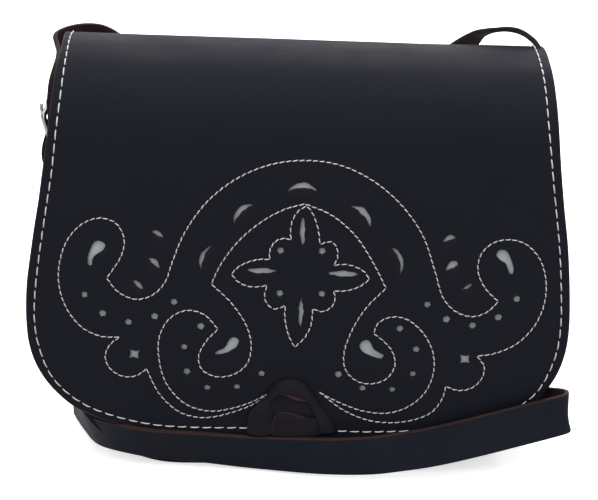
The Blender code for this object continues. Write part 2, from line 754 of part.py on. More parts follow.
def far_out():
    """Far bar's centre, measured out from the gusset, with the strap under it."""
    return 3 * seat_gap + strap_thick + wire_radius


def on_left(u, y, z):
    return (-body_half - u, y, z)


def make_chape():
    bend = wire_radius + seat_gap + chape_thick / 2
    lap = lap_face() - chape_thick / 2
    first = seat_gap + chape_thick / 2
    line = [Vector((first, chape_low)), Vector((first, bar_height - bend * 2))]
    steps = 8
    for i in range(steps + 1):
        angle = math.pi - math.pi * i / steps
        line.append(Vector((bar_out() + bend * math.cos(angle), bar_height + bend * math.sin(angle))))
    line += [Vector((lap, bar_height - bend * 3)), Vector((lap, bar_height - chape_lap))]
    outer = offset_line(line, -chape_thick / 2)
    inner = offset_line(line, chape_thick / 2)
    rings = []
    for a, b in zip(outer, inner):
        half = strap_width / 2
        rings.append([on_left(a.x, -half, a.y), on_left(a.x, half, a.y), on_left(b.x, half, b.y),
                      on_left(b.x, -half, b.y)])
    chape = add_object("strap_chape", loft("strap_chape", rings), (black_leather, 0.5))
    for i, height in enumerate(rivet_heights):
        hole = turned_hole("chape_hole", rivet_shank + seat_gap, chape_thick)
        tool = cutter("chape_hole_%d" % i, hole, on_left(first, 0, height))
        tool.rotation_euler = (0, math.radians(90), 0)
        cut(chape, tool)
    wide = prong_radius + seat_gap
    hook = wire_radius + prong_run + 2 * prong_radius + seat_gap
    slot = block("chape_slot", on_left(chape_out() + cut_overrun, -wide, bar_height - hook),
                 on_left(-cut_overrun, wide, bar_height + chape_out()))
    cut(chape, cutter("chape_slot", slot))


def make_keeper():
    """Leather loop held between the chape's layers, round the strap's free end."""
    inner = keeper_in()
    outer = lap_face() + 3 * seat_gap + strap_thick
    half = strap_width / 2 + seat_gap
    rings = []
    for z in (keeper_low, keeper_low + keeper_height):
        outside = [(inner, -half - keeper_thick), (outer + keeper_thick, -half - keeper_thick),
                   (outer + keeper_thick, half + keeper_thick), (inner, half + keeper_thick)]
        inside_loop = [(inner + keeper_thick, -half), (outer, -half), (outer, half),
                       (inner + keeper_thick, half)]
        rings.append((outside, inside_loop, z))
    (out_low, in_low, low), (out_high, in_high, high) = rings
    loops = [[on_left(u, y, low) for u, y in out_low], [on_left(u, y, high) for u, y in out_high],
             [on_left(u, y, high) for u, y in in_high], [on_left(u, y, low) for u, y in in_low]]
    add_object("strap_keeper", loft("strap_keeper", loops, closed=True), (black_leather, 0.5))


def wire(name, points, radius, cyclic, look, place):
    curve = bpy.data.curves.new(name, "CURVE")
    curve.dimensions = "3D"
    curve.bevel_depth = radius
    curve.bevel_resolution = 2
    curve.use_fill_caps = True
    spline = curve.splines.new("POLY")
    spline.points.add(len(points) - 1)
    for point, where in zip(spline.points, points):
        point.co = (*where, 1)
    spline.use_cyclic_u = cyclic
    return add_object(name, curve, look, place)


def make_buckle():
    """Wire frame round the strap and a prong that turns on its bar."""
    look = (dark_metal, 0.3, 1.0)
    half = strap_width / 2 + wire_radius + 3 * seat_gap
    lean = far_out() - bar_out()
    corner = wire_radius * 1.2
    corners = [(-half, 0), (half, 0), (half, buckle_length), (-half, buckle_length)]
    points = []
    for k, (y, v) in enumerate(corners):
        middle_y = y - math.copysign(corner, y)
        middle_v = v + (corner if v == 0 else -corner)
        for i in range(4):
            angle = math.radians(180 + 90 * k + 30 * i)
            v_here = middle_v + corner * math.sin(angle)
            points.append((-lean * v_here / buckle_length, middle_y + corner * math.cos(angle), v_here))
    place = on_left(bar_out(), 0, bar_height)
    wire("buckle_frame", points, wire_radius, True, look, place)
    hook = wire_radius + prong_run + prong_radius
    points = []
    steps = 10
    for i in range(steps + 1):
        angle = math.radians(prong_wrap[0] + (prong_wrap[1] - prong_wrap[0]) * i / steps)
        points.append((-hook * math.cos(angle), 0, hook * math.sin(angle)))
    points.append((-prong_far(), 0, buckle_length))
    points.append((-prong_far(), 0, buckle_length + wire_radius * 2))
    wire("buckle_prong", points, prong_radius, False, look, place)


def prong_far():
    """Prong's middle line where it rests on the far bar, measured out from the bar."""
    return far_out() - bar_out() + wire_radius + seat_gap + prong_radius


def prong_slot():
    """Cutter for all the space that the prong sweeps through the strap."""
    room = prong_radius + seat_gap
    near = wire_radius + prong_run + prong_radius
    low = wire_radius
    high = buckle_length - wire_radius
    swing = math.tan(math.radians(prong_swing))
    rings = []
    for y in (-room, room):
        ring = []
        for v in (low, high):
            out = near + (prong_far() - near) * v / buckle_length
            ring.append((out - room, v))
        for v in (high, low):
            out = near + (prong_far() - near) * v / buckle_length
            ring.append((out + room + v * swing, v))
        rings.append([on_left(bar_out() + u, y, bar_height + v) for u, v in ring])
    return cutter("prong_slot", loft("prong_slot", rings))


def make_rivet(name, side, height, seat):
    """Double-capped rivet through the gusset; seat is the face it holds, out from the gusset."""
    top = seat + seat_gap
    bottom = -gusset_thick - seat_gap
    cap = rivet_radius
    profile = [(0, bottom - rivet_dome), (cap * 0.6, bottom - rivet_dome * 0.8), (cap, bottom - rivet_dome * 0.2),
               (cap, bottom), (rivet_shank, bottom), (rivet_shank, top), (cap, top),
               (cap, top + rivet_dome * 0.2), (cap * 0.6, top + rivet_dome * 0.8), (0, top + rivet_dome)]
    rivet = add_object(name, turned(name, profile, 16), (dark_metal, 0.3, 1.0),
                       (side * body_half, 0, height))
    rivet.rotation_euler = (0, side * math.radians(90), 0)


def turn_about_hinge(pieces):
    """Put the origin of each flap piece on the hinge line and leave the piece in its place."""
    axis = Matrix.Translation((0, hinge_y, bag_height))
    for item in pieces:
        item.data.transform(axis.inverted() @ item.matrix_basis)
        item.matrix_basis = axis


def shade_round():
    for item in bpy.context.scene.collection.objects:
        if item.type == "MESH" and not item.hide_render:
            item.data.shade_smooth()
            item.data.set_sharp_from_angle(angle=math.radians(35))


clear_scene()
flap_line = flap_side()
make_body()
make_gusset()
flap_pieces = make_flap(flap_line) + make_knot(flap_line) + [make_snap(flap_line)]
turn_about_hinge(flap_pieces)
make_strap()
make_chape()
make_keeper()
make_buckle()
for number, level in enumerate(rivet_heights, 1):
    make_rivet("chape_rivet_%d" % number, -1, level, seat_gap + chape_thick)
for number, level in enumerate(end_rivet_heights, 1):
    make_rivet("strap_rivet_%d" % number, 1, level, seat_gap + strap_thick)
shade_round()
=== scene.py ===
"""Looks of the cut-work flap shoulder bag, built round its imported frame. Metres, +Z up."""

import math
import random

import bmesh
import bpy
import numpy as np
from mathutils import Matrix, Vector, geometry, kdtree, noise


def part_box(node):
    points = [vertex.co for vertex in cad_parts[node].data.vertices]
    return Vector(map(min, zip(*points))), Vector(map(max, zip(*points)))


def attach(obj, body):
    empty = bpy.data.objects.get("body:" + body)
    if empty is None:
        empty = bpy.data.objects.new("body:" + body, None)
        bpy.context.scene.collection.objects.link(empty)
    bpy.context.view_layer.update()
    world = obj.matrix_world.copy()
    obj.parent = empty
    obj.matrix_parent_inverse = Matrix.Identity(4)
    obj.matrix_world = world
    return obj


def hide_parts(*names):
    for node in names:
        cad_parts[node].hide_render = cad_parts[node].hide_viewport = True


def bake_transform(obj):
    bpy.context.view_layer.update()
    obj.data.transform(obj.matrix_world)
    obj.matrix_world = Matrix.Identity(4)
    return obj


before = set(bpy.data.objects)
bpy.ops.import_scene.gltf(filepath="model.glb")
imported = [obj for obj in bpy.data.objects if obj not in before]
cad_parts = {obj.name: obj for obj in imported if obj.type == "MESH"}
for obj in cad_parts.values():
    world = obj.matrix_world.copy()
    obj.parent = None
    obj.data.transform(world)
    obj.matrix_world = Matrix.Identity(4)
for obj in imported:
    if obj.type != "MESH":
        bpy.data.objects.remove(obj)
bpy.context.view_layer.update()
MM = 0.001
chance = random.Random(11)

# Sizes in millimetres. The bag's middle is at x 0, its base at z 0, and its front faces -y.
BODY_HALF, CORNER = 124.0, 60.0     # half the body's width and the radius of its lower corners
BASE_HALF = BODY_HALF - CORNER      # half the base's straight stretch
PANEL_FACE = 32.5                   # how far the grain sides of front and back are from the middle
GUSSET_HALF, GUSSET_TOP = 30.0, 182.0
GUSSET_RISE = 22                    # how much higher the gusset's ends are at the back than in front
FRONT_HEIGHT, FRONT_THICK = 182, 2.2
HIDE = 2.0
BACK_STRAIGHT, FOLD_FROM = 150, 200     # height up to which the back is plane, and from which it folds
INLAY_DEPTH, LINING_DEPTH, LINING_THICK = 2.3, 3.4, 1.0
INLAY_TOP, LINING_TOP = 149, 236    # along the leather, from the flap's lower edge
SEAM_IN = 4.4                       # from a panel's edge to its seam
SEAM_STEP = 0.9
SEAM_PITCH, SCROLL_PITCH = 6.5, 3.4
STRAP, STRAP_THICK = 22.0, 2.6
STRAP_ROUND = 13.0                  # length of the strap's rounded end
STRAP_DYED = (110, 115)             # points from its start and its end where its edges are dark
CHAPE_THICK, KEEPER, KEEPER_THICK = 1.8, 8.0, 1.2
BAR_HEIGHT, BAR_OUT = 165.0, 3.9    # buckle's bar above the base and beside the gusset
WIRE, PRONG = 1.5, 0.9              # radii of the buckle's frame and prong
SLOT_HALF = 1.2                     # half the width of the prong's slots
HOLE, RIVET_HOLE = 1.6, 1.7         # radii
SEAT = 0.3                          # gap between pieces that touch
CHAPE_RIVETS, STRAP_RIVETS = (114, 125), (148, 160)
SNAP_HEIGHT = 32.9

# Side view of the one-piece hide (y, z): up the back, over the fold and down the flap
SIDE = [(32.5, 0), (32.5, 70), (32.5, 140), (32.5, 185), (32.45, 204), (31.2, 212.2), (28, 216.4),
        (22, 218), (12, 217.8), (2, 216.5), (-16, 211.5), (-28, 202.5), (-36, 189.5), (-40.5, 172.5),
        (-43, 152), (-44.2, 132), (-45, 92), (-44.2, 60), (-42.6, 42), (-42, 30), (-42, 20.4)]

# Flap's edge from the middle of its lower edge: (distance from the middle, height along the leather)
RIGHT_EDGE = [(0, -0.2), (14, -0.6), (28, -0.9), (42, -0.9), (56, -0.3), (77.5, 1.6), (97, 5.6),
              (112.4, 12.2), (123.6, 20.6), (130.6, 29.4), (135, 38), (138.2, 49), (139.5, 62), (138.9, 81),
              (136.6, 107.5), (133.6, 129), (131, 151), (129.4, 172), (128.3, 190), (127.6, 210),
              (127.3, 232), (126.8, 245), (125.5, 254), (124.2, 262), (124, 275)]
LEFT_EDGE = [(0, -0.2), (14, 0), (28, 0.2), (56, 0.6), (77.5, 1.9), (97, 6.2), (110, 11), (119.5, 16.2),
             (125.6, 21.6), (132.2, 29.6), (137.4, 39.2), (140.8, 50.5), (142, 62.4), (141.3, 83.6),
             (138.3, 104.2), (136, 118), (134, 129), (131.6, 145), (129.4, 160), (127.5, 178), (126, 196),
             (125.1, 212), (125, 224), (125.4, 234), (125.4, 245), (124.8, 254), (124.2, 262), (124, 275)]

# Stitched border beside those edges
RIGHT_BORDER = [(0, 4.6), (19.6, 3.9), (36, 3.5), (57, 4.2), (77, 6), (97, 10.4), (112, 16.7),
                (119.5, 21.6), (125.2, 28), (130.2, 38.6), (133.7, 51), (134.9, 64), (134.3, 81.2),
                (132.1, 107.1), (127.9, 138), (125.6, 157.4), (124, 173.1), (122.9, 193.7), (122.3, 214),
                (122, 232), (121.6, 246), (120.8, 255), (119.8, 263), (119.6, 275)]
LEFT_BORDER = [(0, 4.6), (27.6, 5), (57.2, 5.1), (77.3, 6.4), (97.3, 10.8), (112.4, 16.9), (123, 25),
               (130.7, 35.4), (136, 51.5), (137.6, 64.4), (137, 79), (134, 101.5), (131.4, 117),
               (129.1, 130.5), (126.9, 143.5), (124.7, 162.5), (122.4, 183.3), (121.5, 201), (121.4, 216),
               (121.6, 232), (121.2, 246), (120.6, 255), (119.8, 263), (119.6, 275)]

# Scroll lines of the ornament: runs of points between their cusps
OUTER_SCROLL = [
    [(-12.9, 28.3), (-23.4, 19.5), (-33.9, 14.6), (-44.5, 11.4), (-52.7, 10.8), (-63.2, 13.9), (-73, 23.5),
     (-78.6, 35.4), (-79.9, 39.1)],
    [(-79.9, 39.1), (-85.9, 34.9), (-92.6, 34.6), (-99, 38.9), (-101.4, 45.6), (-99, 52.4), (-93.7, 57)],
    [(-93.7, 57), (-102.9, 57.3), (-112.2, 61.5), (-120.1, 71.3), (-124.2, 84.4), (-123.7, 97.3),
     (-119, 110.2), (-110.8, 118.7), (-102, 121.4), (-94.2, 118.5), (-90.4, 110.6), (-91.8, 102),
     (-95.8, 95), (-99.7, 89.5)],
    [(-99.7, 89.5), (-94.2, 82.3), (-85, 78.1), (-76.2, 80.6), (-69.8, 87.5), (-66.1, 98), (-59.6, 114),
     (-47.8, 130.9), (-32.5, 143.1), (-15.8, 150.2), (1.3, 152.4), (18.5, 150.4), (34.8, 143.1),
     (49.6, 131), (61.7, 114.3), (68.6, 95.1), (73.6, 80.2), (80.5, 73), (88.8, 70.5), (96.2, 73),
     (101.8, 78.8)],
    [(101.8, 78.8), (94.6, 86.4), (90.7, 95.4), (91.8, 104), (97.6, 110.3), (106.3, 112.2), (115, 109.6),
     (122.3, 101.6), (126, 89.3), (125.4, 76.4), (120.9, 64.9), (112.3, 55.2), (101.2, 49.8), (92.3, 48.3)],
    [(92.3, 48.3), (96.2, 42.1), (95.1, 35), (89.9, 29.5), (83.3, 28.2), (76.7, 30.5)],
    [(76.7, 30.5), (74.9, 22.8), (69.8, 15.3), (60.8, 10.8), (48.4, 8.9), (35.7, 10.5), (22.6, 16.5),
     (10.2, 26.9)]]
INNER_SCROLL = [
    [(-12.9, 27.8), (-23, 21.4), (-33.9, 16.9), (-46.8, 14.6), (-59.4, 18.3), (-69.3, 29.6), (-73.4, 44.8),
     (-72.8, 58.4), (-67.1, 68.2), (-58.4, 72.3), (-49.6, 69.9), (-42.6, 62.1)],
    [(-42.6, 62.1), (-49.3, 54.5), (-52.8, 46.3), (-51.2, 39.3), (-44.4, 35.2), (-35.6, 36.1), (-28, 42.1),
     (-25.4, 52.1), (-27.6, 63.4), (-35.4, 76.2), (-46, 86.9)],
    [(-46, 86.9), (-41.4, 97), (-31.8, 110.4), (-19.7, 121), (-8.2, 127.4), (1.6, 130.2)],
    [(1.6, 130.2), (14.9, 124.6), (27, 114.3), (36.2, 100.6), (43.8, 85.7)],
    [(43.8, 85.7), (34.1, 75.2), (26.6, 62), (22.8, 48.3), (24, 39.7), (30, 33.4), (37.5, 31.9),
     (45.2, 34.8), (49.5, 42.5), (48, 50.5), (43.4, 56.3), (38, 60.8)],
    [(38, 60.8), (40, 66.1), (45.8, 69.7), (54, 69.1), (62.8, 62.2), (68.9, 50.9), (69.8, 38.5),
     (65.5, 26.3), (56.8, 18.1), (46, 14.5), (33.5, 15.7), (20.9, 20.6), (10.2, 26.5)]]
FLOWER = [
    [(2.4, 129.2), (-1.9, 126.2), (-4.6, 121.5), (-5.6, 115.9), (-5.2, 111)],
    [(-5.2, 111), (-8.4, 111.9), (-12.6, 110.6), (-15.2, 107.5), (-16.2, 104), (-16, 100.5)],
    [(-16, 100.5), (-21.3, 100.5), (-27.3, 98.9), (-32.3, 96.1), (-35.7, 92.4)],
    [(-35.7, 92.4), (-31.9, 88), (-25.6, 85.6), (-17.4, 86.4)],
    [(-17.4, 86.4), (-18.6, 81), (-17.2, 76.3), (-13.5, 73.7), (-7.9, 75.5)],
    [(-7.9, 75.5), (-8, 68.9), (-6.4, 60.4), (-2.9, 52.4)],
    [(-2.9, 52.4), (2.5, 58.3), (5.5, 65.3), (6.3, 74)],
    [(6.3, 74), (11.1, 72.6), (15.8, 75), (17.6, 79.2), (17, 83.9)],
    [(17, 83.9), (23.7, 84.2), (30.1, 86.5), (35.2, 90.4)],
    [(35.2, 90.4), (32.4, 94.5), (27.3, 97.3), (22.1, 98.4), (16.7, 97.8)],
    [(16.7, 97.8), (18.6, 102.2), (18.2, 106.9), (15.4, 110.3), (9.4, 109)],
    [(9.4, 109), (8.8, 115.3), (7.2, 121.2), (5, 126.2), (2.4, 129.2)]]

# Cut-outs on the flat flap: slits (tip, tip, width), crescents (tip, middle, tip, width), teardrops as
# outlines, stars (place, turn) and the places of the dots on the right half
SLITS = [((0.5, 123.4), (0.7, 108), 2.5), ((-28.4, 94.4), (-12.2, 94), 3),
         ((13.6, 93.2), (29.6, 92.8), 3.3), ((0.3, 79.4), (0.1, 63.4), 2.4)]
MOONS = [((-7.6, 136.3), (0.2, 139.9), (8, 136.4), 3.1),
         ((-34.6, 118.6), (-31.6, 126.4), (-24, 129.4), 2.7),
         ((35.2, 118.4), (31.8, 126.2), (24.2, 129.3), 2.8),
         ((-51, 93.6), (-50.9, 101.9), (-44.9, 107.9), 2), ((51, 92.8), (50.9, 101.8), (45.1, 108), 1.9),
         ((-76.6, 114.2), (-73.4, 113.9), (-69.9, 111.1), 2.9),
         ((71.8, 110.4), (75.3, 113), (78.7, 112.9), 3),
         ((-78.5, 100.2), (-74.9, 98.3), (-72.4, 94.7), 2.7), ((74, 95.3), (77.3, 98.9), (80.8, 98.3), 4.2),
         ((-86.7, 88.2), (-83.6, 86.1), (-81.2, 82.9), 2.3),
         ((81.8, 83.8), (85.5, 86.8), (88.7, 87.8), 2.6)]
DROPS = [
    [(-103.7, 109.5), (-102.1, 108.7), (-100.6, 107.9), (-100.1, 106.9), (-100.7, 105.2), (-101.7, 103.6),
     (-103.6, 102.7), (-105.4, 101.4), (-106.3, 100.1), (-107, 98.7), (-107.2, 97.1), (-107.5, 95.8),
     (-108.5, 95.6), (-109.5, 96.5), (-109.5, 98.1), (-109.4, 100), (-108.9, 101.9), (-108.1, 104.3),
     (-107, 106.8), (-105.4, 108.9)],
    [(99.8, 103.7), (100, 104.9), (100.7, 106.1), (102.4, 106.9), (104.3, 106.4), (105.7, 105),
     (106.7, 102.7), (107.8, 100.5), (108.6, 98.4), (109, 96.5), (109.1, 94.8), (108.5, 93.4),
     (107.1, 93.6), (106.4, 95.4), (105.7, 97.5), (104.5, 99.3), (102.7, 100.7), (100.9, 102.1)],
    [(-44.5, 48.6), (-44.2, 47.7), (-42.7, 47.2), (-40.6, 47.6), (-38, 48.4), (-35.7, 49.9), (-33.6, 51.1),
     (-32.5, 52.8), (-31.8, 54.8), (-32.2, 56.3), (-33.8, 57.5), (-35.4, 57.3), (-36.5, 56.3),
     (-37.5, 54.7), (-38.3, 52.7), (-40, 50.8), (-42.2, 49.8)],
    [(30.9, 52.9), (31, 54.6), (31.9, 55.9), (33.6, 56.9), (35.4, 56.6), (36.6, 55.4), (37.3, 53.5),
     (38.2, 51.8), (39.7, 50.5), (41.6, 49.5), (43.2, 48.5), (43.4, 47.1), (42.3, 45.9), (40.1, 46.4),
     (37.3, 47.4), (34.3, 48.5), (32.2, 50.2)]]
STARS = [(-86.4, 47, 38), (86, 46.1, 46)]
DOTS = [(10.6, 105.1), (10.8, 82), (111.5, 80), (102.4, 69.8), (89.2, 65.2), (75.5, 68.5), (65.4, 76.6),
        (51.6, 63.2), (60.4, 51.6), (59.1, 37.4), (48.6, 28), (33, 28.7), (20.1, 36.8)]


# Curves
def units(rows):
    """Rows scaled to length one."""
    return rows / np.maximum(np.linalg.norm(rows, axis=1), 1e-9)[:, None]


def marks_of(line):
    """Distance along a line to each of its points."""
    return np.concatenate([[0], np.cumsum(np.linalg.norm(np.diff(line, axis=0), axis=1))])


def resample(line, step):
    """Points an even step apart along a line."""
    line = np.array(line, float)
    marks = marks_of(line)
    even = np.linspace(0, marks[-1], max(1, int(round(marks[-1] / step))) + 1)
    return np.stack([np.interp(even, marks, column) for column in line.T], 1)


def between(t, start, stop, first, second):
    return (stop - t) / (stop - start) * first + (t - start) / (stop - start) * second


def spline(points, step, closed=False):
    """Centripetal curve through points of any dimension, resampled evenly."""
    pts = [np.array(p, float) for p in points]
    if closed:
        pts = [pts[-1]] + pts + [pts[0], pts[1]]
    else:
        pts = [2 * pts[0] - pts[1]] + pts + [2 * pts[-1] - pts[-2]]
    fine = []
    for four in zip(pts, pts[1:], pts[2:], pts[3:]):
        p0, p1, p2, p3 = four
        gaps = [max(np.linalg.norm(b - a), 1e-6) ** 0.5 for a, b in zip(four, four[1:])]
        t0, t1, t2, t3 = np.cumsum([0.0] + gaps)
        count = max(4, int(np.linalg.norm(p2 - p1) / (step * 0.5)) + 1)
        for k in range(count):
            t = t1 + (t2 - t1) * k / count
            a1, a2 = between(t, t0, t1, p0, p1), between(t, t1, t2, p1, p2)
            a3 = between(t, t2, t3, p2, p3)
            fine.append(between(t, t1, t2, between(t, t0, t2, a1, a2), between(t, t1, t3, a2, a3)))
    fine.append(pts[-2])
    return resample(fine, step)


def curve(rows, steps):
    """Smooth rows of numbers that pass through the given ones."""
    fine = []
    last = len(rows) - 1
    for i in range(last):
        p0, p1, p2, p3 = (rows[min(max(k, 0), last)] for k in (i - 1, i, i + 1, i + 2))
        for k in range(steps):
            t = k / steps
            fine.append(0.5 * (2 * p1 + (p2 - p0) * t + (2 * p0 - 5 * p1 + 4 * p2 - p3) * t ** 2
                               + (3 * p1 - 3 * p2 + p3 - p0) * t ** 3))
    fine.append(rows[-1])
    return fine


def turns(count):
    """Angles an even step apart, once round."""
    return [math.tau * i / count for i in range(count)]


def arc(a, b, radius, start, stop, steps):
    """Places on an arc about a centre, from one angle to another."""
    angles = [start + (stop - start) * i / steps for i in range(steps + 1)]
    return [(a + radius * math.cos(angle), b + radius * math.sin(angle)) for angle in angles]


def round_base(top, steps):
    """Right half of the body's outline, from the side's top down to the end of the corner."""
    return [(BODY_HALF, top)] + arc(BASE_HALF, CORNER, CORNER, 0, -math.pi / 2, steps)


def seam_round(top):
    """Right half of the seam inside that outline, from its top down to the middle."""
    corner = arc(BASE_HALF, CORNER, CORNER - SEAM_IN, 0, -math.pi / 2, 24)
    return [(BODY_HALF - SEAM_IN, top)] + corner + [(0.0, SEAM_IN)]


def mirrored(right, left=None):
    """Whole outline from its right half, and from its left half too where that differs."""
    return right + [(-x, u) for x, u in reversed((left or right)[1:-1])]


def smooth(value):
    value = min(1.0, max(0.0, value))
    return value * value * (3 - 2 * value)


side_points = spline(SIDE, 0.5)
side_up = marks_of(side_points)[-1] - marks_of(side_points)     # along the leather, from the lower edge
side_along = units(np.gradient(side_points, axis=0))
side_table = np.stack([side_up, *side_points.T, *side_along.T])[:, ::-1].copy()
BASE_UP = side_up[0]


def swell(x, u):
    """Slow unevenness of worn leather, outwards, in millimetres."""
    calm = min(1.0, max(0.0, (BASE_UP - u) / 40))
    slow = noise.noise(Vector((x / 95, u / 80, 3.1)))
    mid = noise.noise(Vector((x / 38, u / 42, 9.7)))
    return (0.55 * slow + 0.18 * mid) * calm


def lean_up(x, u):
    """The worn fold stands higher at the left end than at the right."""
    return max(0.0, 2.6 - 0.021 * x) * smooth((u - 150) / 78) * smooth((350 - u) / 85)


# The flap's sides bend back, most at their edge; above its flat part that fades over a short way
SIDE_BEND, FLAP_HALF, FLAT_TOP, FADE = 1.5, 140, 200, 30


def on_hide(x, u, depth):
    """Place of a point of the flat hide, so far below its grain side."""
    y, z, dy, dz = (np.interp(u, side_table[0], column) for column in side_table[1:])
    if u < 0:
        z += u
    size = math.hypot(dy, dz)
    out_y, out_z = -dz / size, dy / size
    if z < BACK_STRAIGHT and y > 0:
        out_y, out_z = 1.0, 0.0
    facing = 1 if out_y * y + (out_z if z > FOLD_FROM else 0) >= 0 else -1
    rise = swell(x, u) - depth
    bend = SIDE_BEND * (abs(x) / FLAP_HALF) ** 3 * (1 if u < FLAT_TOP else max(0, 1 - (u - FLAT_TOP) / FADE))
    return Vector((x, y + out_y * facing * rise + bend, z + out_z * facing * rise + lean_up(x, u))) * MM


def inside(points, loop):
    """Which of many flat points lie inside a closed outline."""
    px, py = points[:, 0], points[:, 1]
    hit = np.zeros(len(points), bool)
    loop = np.array(loop, float)
    for a, b in zip(loop, np.roll(loop, -1, axis=0)):
        if a[1] != b[1]:
            crossed = (a[1] > py) != (b[1] > py)
            hit ^= crossed & (px < a[0] + (b[0] - a[0]) * (py - a[1]) / (b[1] - a[1]))
    return hit


def grow(loop, distance):
    """Closed outline moved outwards by a distance, with short mitres."""
    p = np.array(loop, float)
    area = np.sum(p[:, 0] * np.roll(p[:, 1], -1) - np.roll(p[:, 0], -1) * p[:, 1])
    a = units(p - np.roll(p, 1, axis=0))
    b = units(np.roll(p, -1, axis=0) - p)
    n = units(np.stack([a[:, 1] + b[:, 1], -a[:, 0] - b[:, 0]], 1) * (1 if area > 0 else -1))
    lean = np.maximum(np.abs(n[:, 0] * b[:, 1] - n[:, 1] * b[:, 0]), 0.55)
    return p + n * (distance / lean)[:, None]


def tree_of(points):
    """Search tree of flat points."""
    tree = kdtree.KDTree(len(points))
    for i, q in enumerate(points):
        tree.insert((q[0], q[1], 0), i)
    tree.balance()
    return tree


# Objects
def add(name, bm, looks, soft=True):
    """Object from a mesh in work, its normals outwards and its looks in slots."""
    bmesh.ops.recalc_face_normals(bm, faces=bm.faces)
    mesh = bpy.data.meshes.new(name)
    bm.to_mesh(mesh)
    bm.free()
    if soft:
        mesh.shade_smooth()
    for look in looks:
        mesh.materials.append(look)
    made = bpy.data.objects.new(name, mesh)
    bpy.context.scene.collection.objects.link(made)
    return made


def weigh(item):
    """Lets the large faces lead the shading, so that leather stays flat up to its rims."""
    step = item.modifiers.new("weigh", "WEIGHTED_NORMAL")
    step.mode = "FACE_AREA"
    step.weight = 80
    step.keep_sharp = True
    return item


def skin(bm, rows, look=None, cap=None):
    """Faces between neighbouring rings of points, a ring of one point being a pole, and end caps."""
    for k, (low, high) in enumerate(zip(rows, rows[1:])):
        count = max(len(low), len(high))
        for i in range(count):
            j = (i + 1) % count
            corners = [low[i % len(low)], low[j % len(low)], high[j % len(high)], high[i % len(high)]]
            made = bm.faces.new(list(dict.fromkeys(corners)))
            if look:
                made.material_index = look(k, i, j)
    if cap is not None:
        for row in (rows[0], rows[-1]):
            bm.faces.new(row).material_index = cap


def grid_cells(low, high, border, extra, step):
    """Extra points, and points in staggered rows, that keep clear of the borders and of each other."""
    cells = [tuple(q) for q in extra if border.find((q[0], q[1], 0))[2] > 0.7]
    near = tree_of(extra) if len(extra) else None
    y = low[1] + step / 2
    odd = False
    while y < high[1]:
        x = low[0] + (step / 2 if odd else step)
        while x < high[0]:
            if border.find((x, y, 0))[2] > step * 0.55 and (
                    near is None or near.find((x, y, 0))[2] > step * 0.6):
                cells.append((x, y))
            x += step
        y += step
        odd = not odd
    return np.array(cells)


def sheet(name, outline, holes, place, thick, step, looks, rim=0.55, extra=(), dip=None, rim_look=None):
    """Thick sheet from a flat outline with holes: rounded rims, own looks for face, edge and back."""
    soft = min(thick, 2)
    rings_at = [(0.3, 0.18 * soft), (0.0, 0.5 * soft * 0.55), (0.0, thick - 0.28 * soft),
                (0.3, thick - 0.09 * soft)]
    loops = [(np.array(outline, float), -1)] + [(np.array(hole, float), 1) for hole in holes]
    flat, edges, starts = [], [], []
    for loop, sign in loops:
        start, count = len(flat), len(loop)
        starts.append(start)
        edges += [(start + i, start + (i + 1) % count) for i in range(count)]
        flat += [tuple(q) for q in grow(loop, sign * rim)]
    first = grow(loops[0][0], -rim)

    def solid_at(points):
        keep = inside(points, first)
        for loop, _ in loops[1:]:
            keep &= ~inside(points, grow(loop, rim))
        return keep

    cells = grid_cells(first.min(0), first.max(0), tree_of(flat), extra, step)
    flat += [tuple(q) for q in cells[solid_at(cells)]]
    out, _, faces, origin, _, _ = geometry.delaunay_2d_cdt([Vector(q) for q in flat], edges, [], 0, 1e-5)
    where = {old: i for i, olds in enumerate(origin) for old in olds}
    middle = np.array([(out[f[0]] + out[f[1]] + out[f[2]]) / 3 for f in faces])
    faces = [f for f, good in zip(faces, solid_at(middle)) if good]
    bm = bmesh.new()
    front, back = {}, {}
    for i in sorted({i for f in faces for i in f}):
        x, u = out[i]
        front[i] = bm.verts.new(place(x, u, dip(x, u) if dip else 0.0))
        back[i] = bm.verts.new(place(x, u, thick))
    for f in faces:
        bm.faces.new([front[i] for i in f]).material_index = 0
        bm.faces.new([back[i] for i in reversed(f)]).material_index = 2
    for (loop, sign), start in zip(loops, starts):
        count = len(loop)
        rings = [[front[where[start + i]] for i in range(count)]]
        for share, depth in rings_at:
            rings.append([bm.verts.new(place(q[0], q[1], depth)) for q in grow(loop, sign * rim * share)])
        rings.append([back[where[start + i]] for i in range(count)])
        for k, (upper, lower) in enumerate(zip(rings, rings[1:])):
            for i in range(count):
                j = (i + 1) % count
                corners = [upper[i], upper[j], lower[j], lower[i]]
                edge = rim_look(loop[i], sign) if rim_look else 1
                if len(set(corners)) == 4:
                    made = bm.faces.new(corners)
                    made.material_index = (edge if sign < 0 else 0, edge, edge, edge, 2)[k]
    return weigh(add(name, bm, looks))


# Shares of a stitch's length, height and radius, from end to end
STITCH = ((0, -1.0, 0.5), (0.1, 0.1, 0.9), (0.32, 0.8, 1.05), (0.5, 1.0, 1.08), (0.68, 0.8, 1.05),
          (0.9, 0.1, 0.9), (1, -1.0, 0.5))


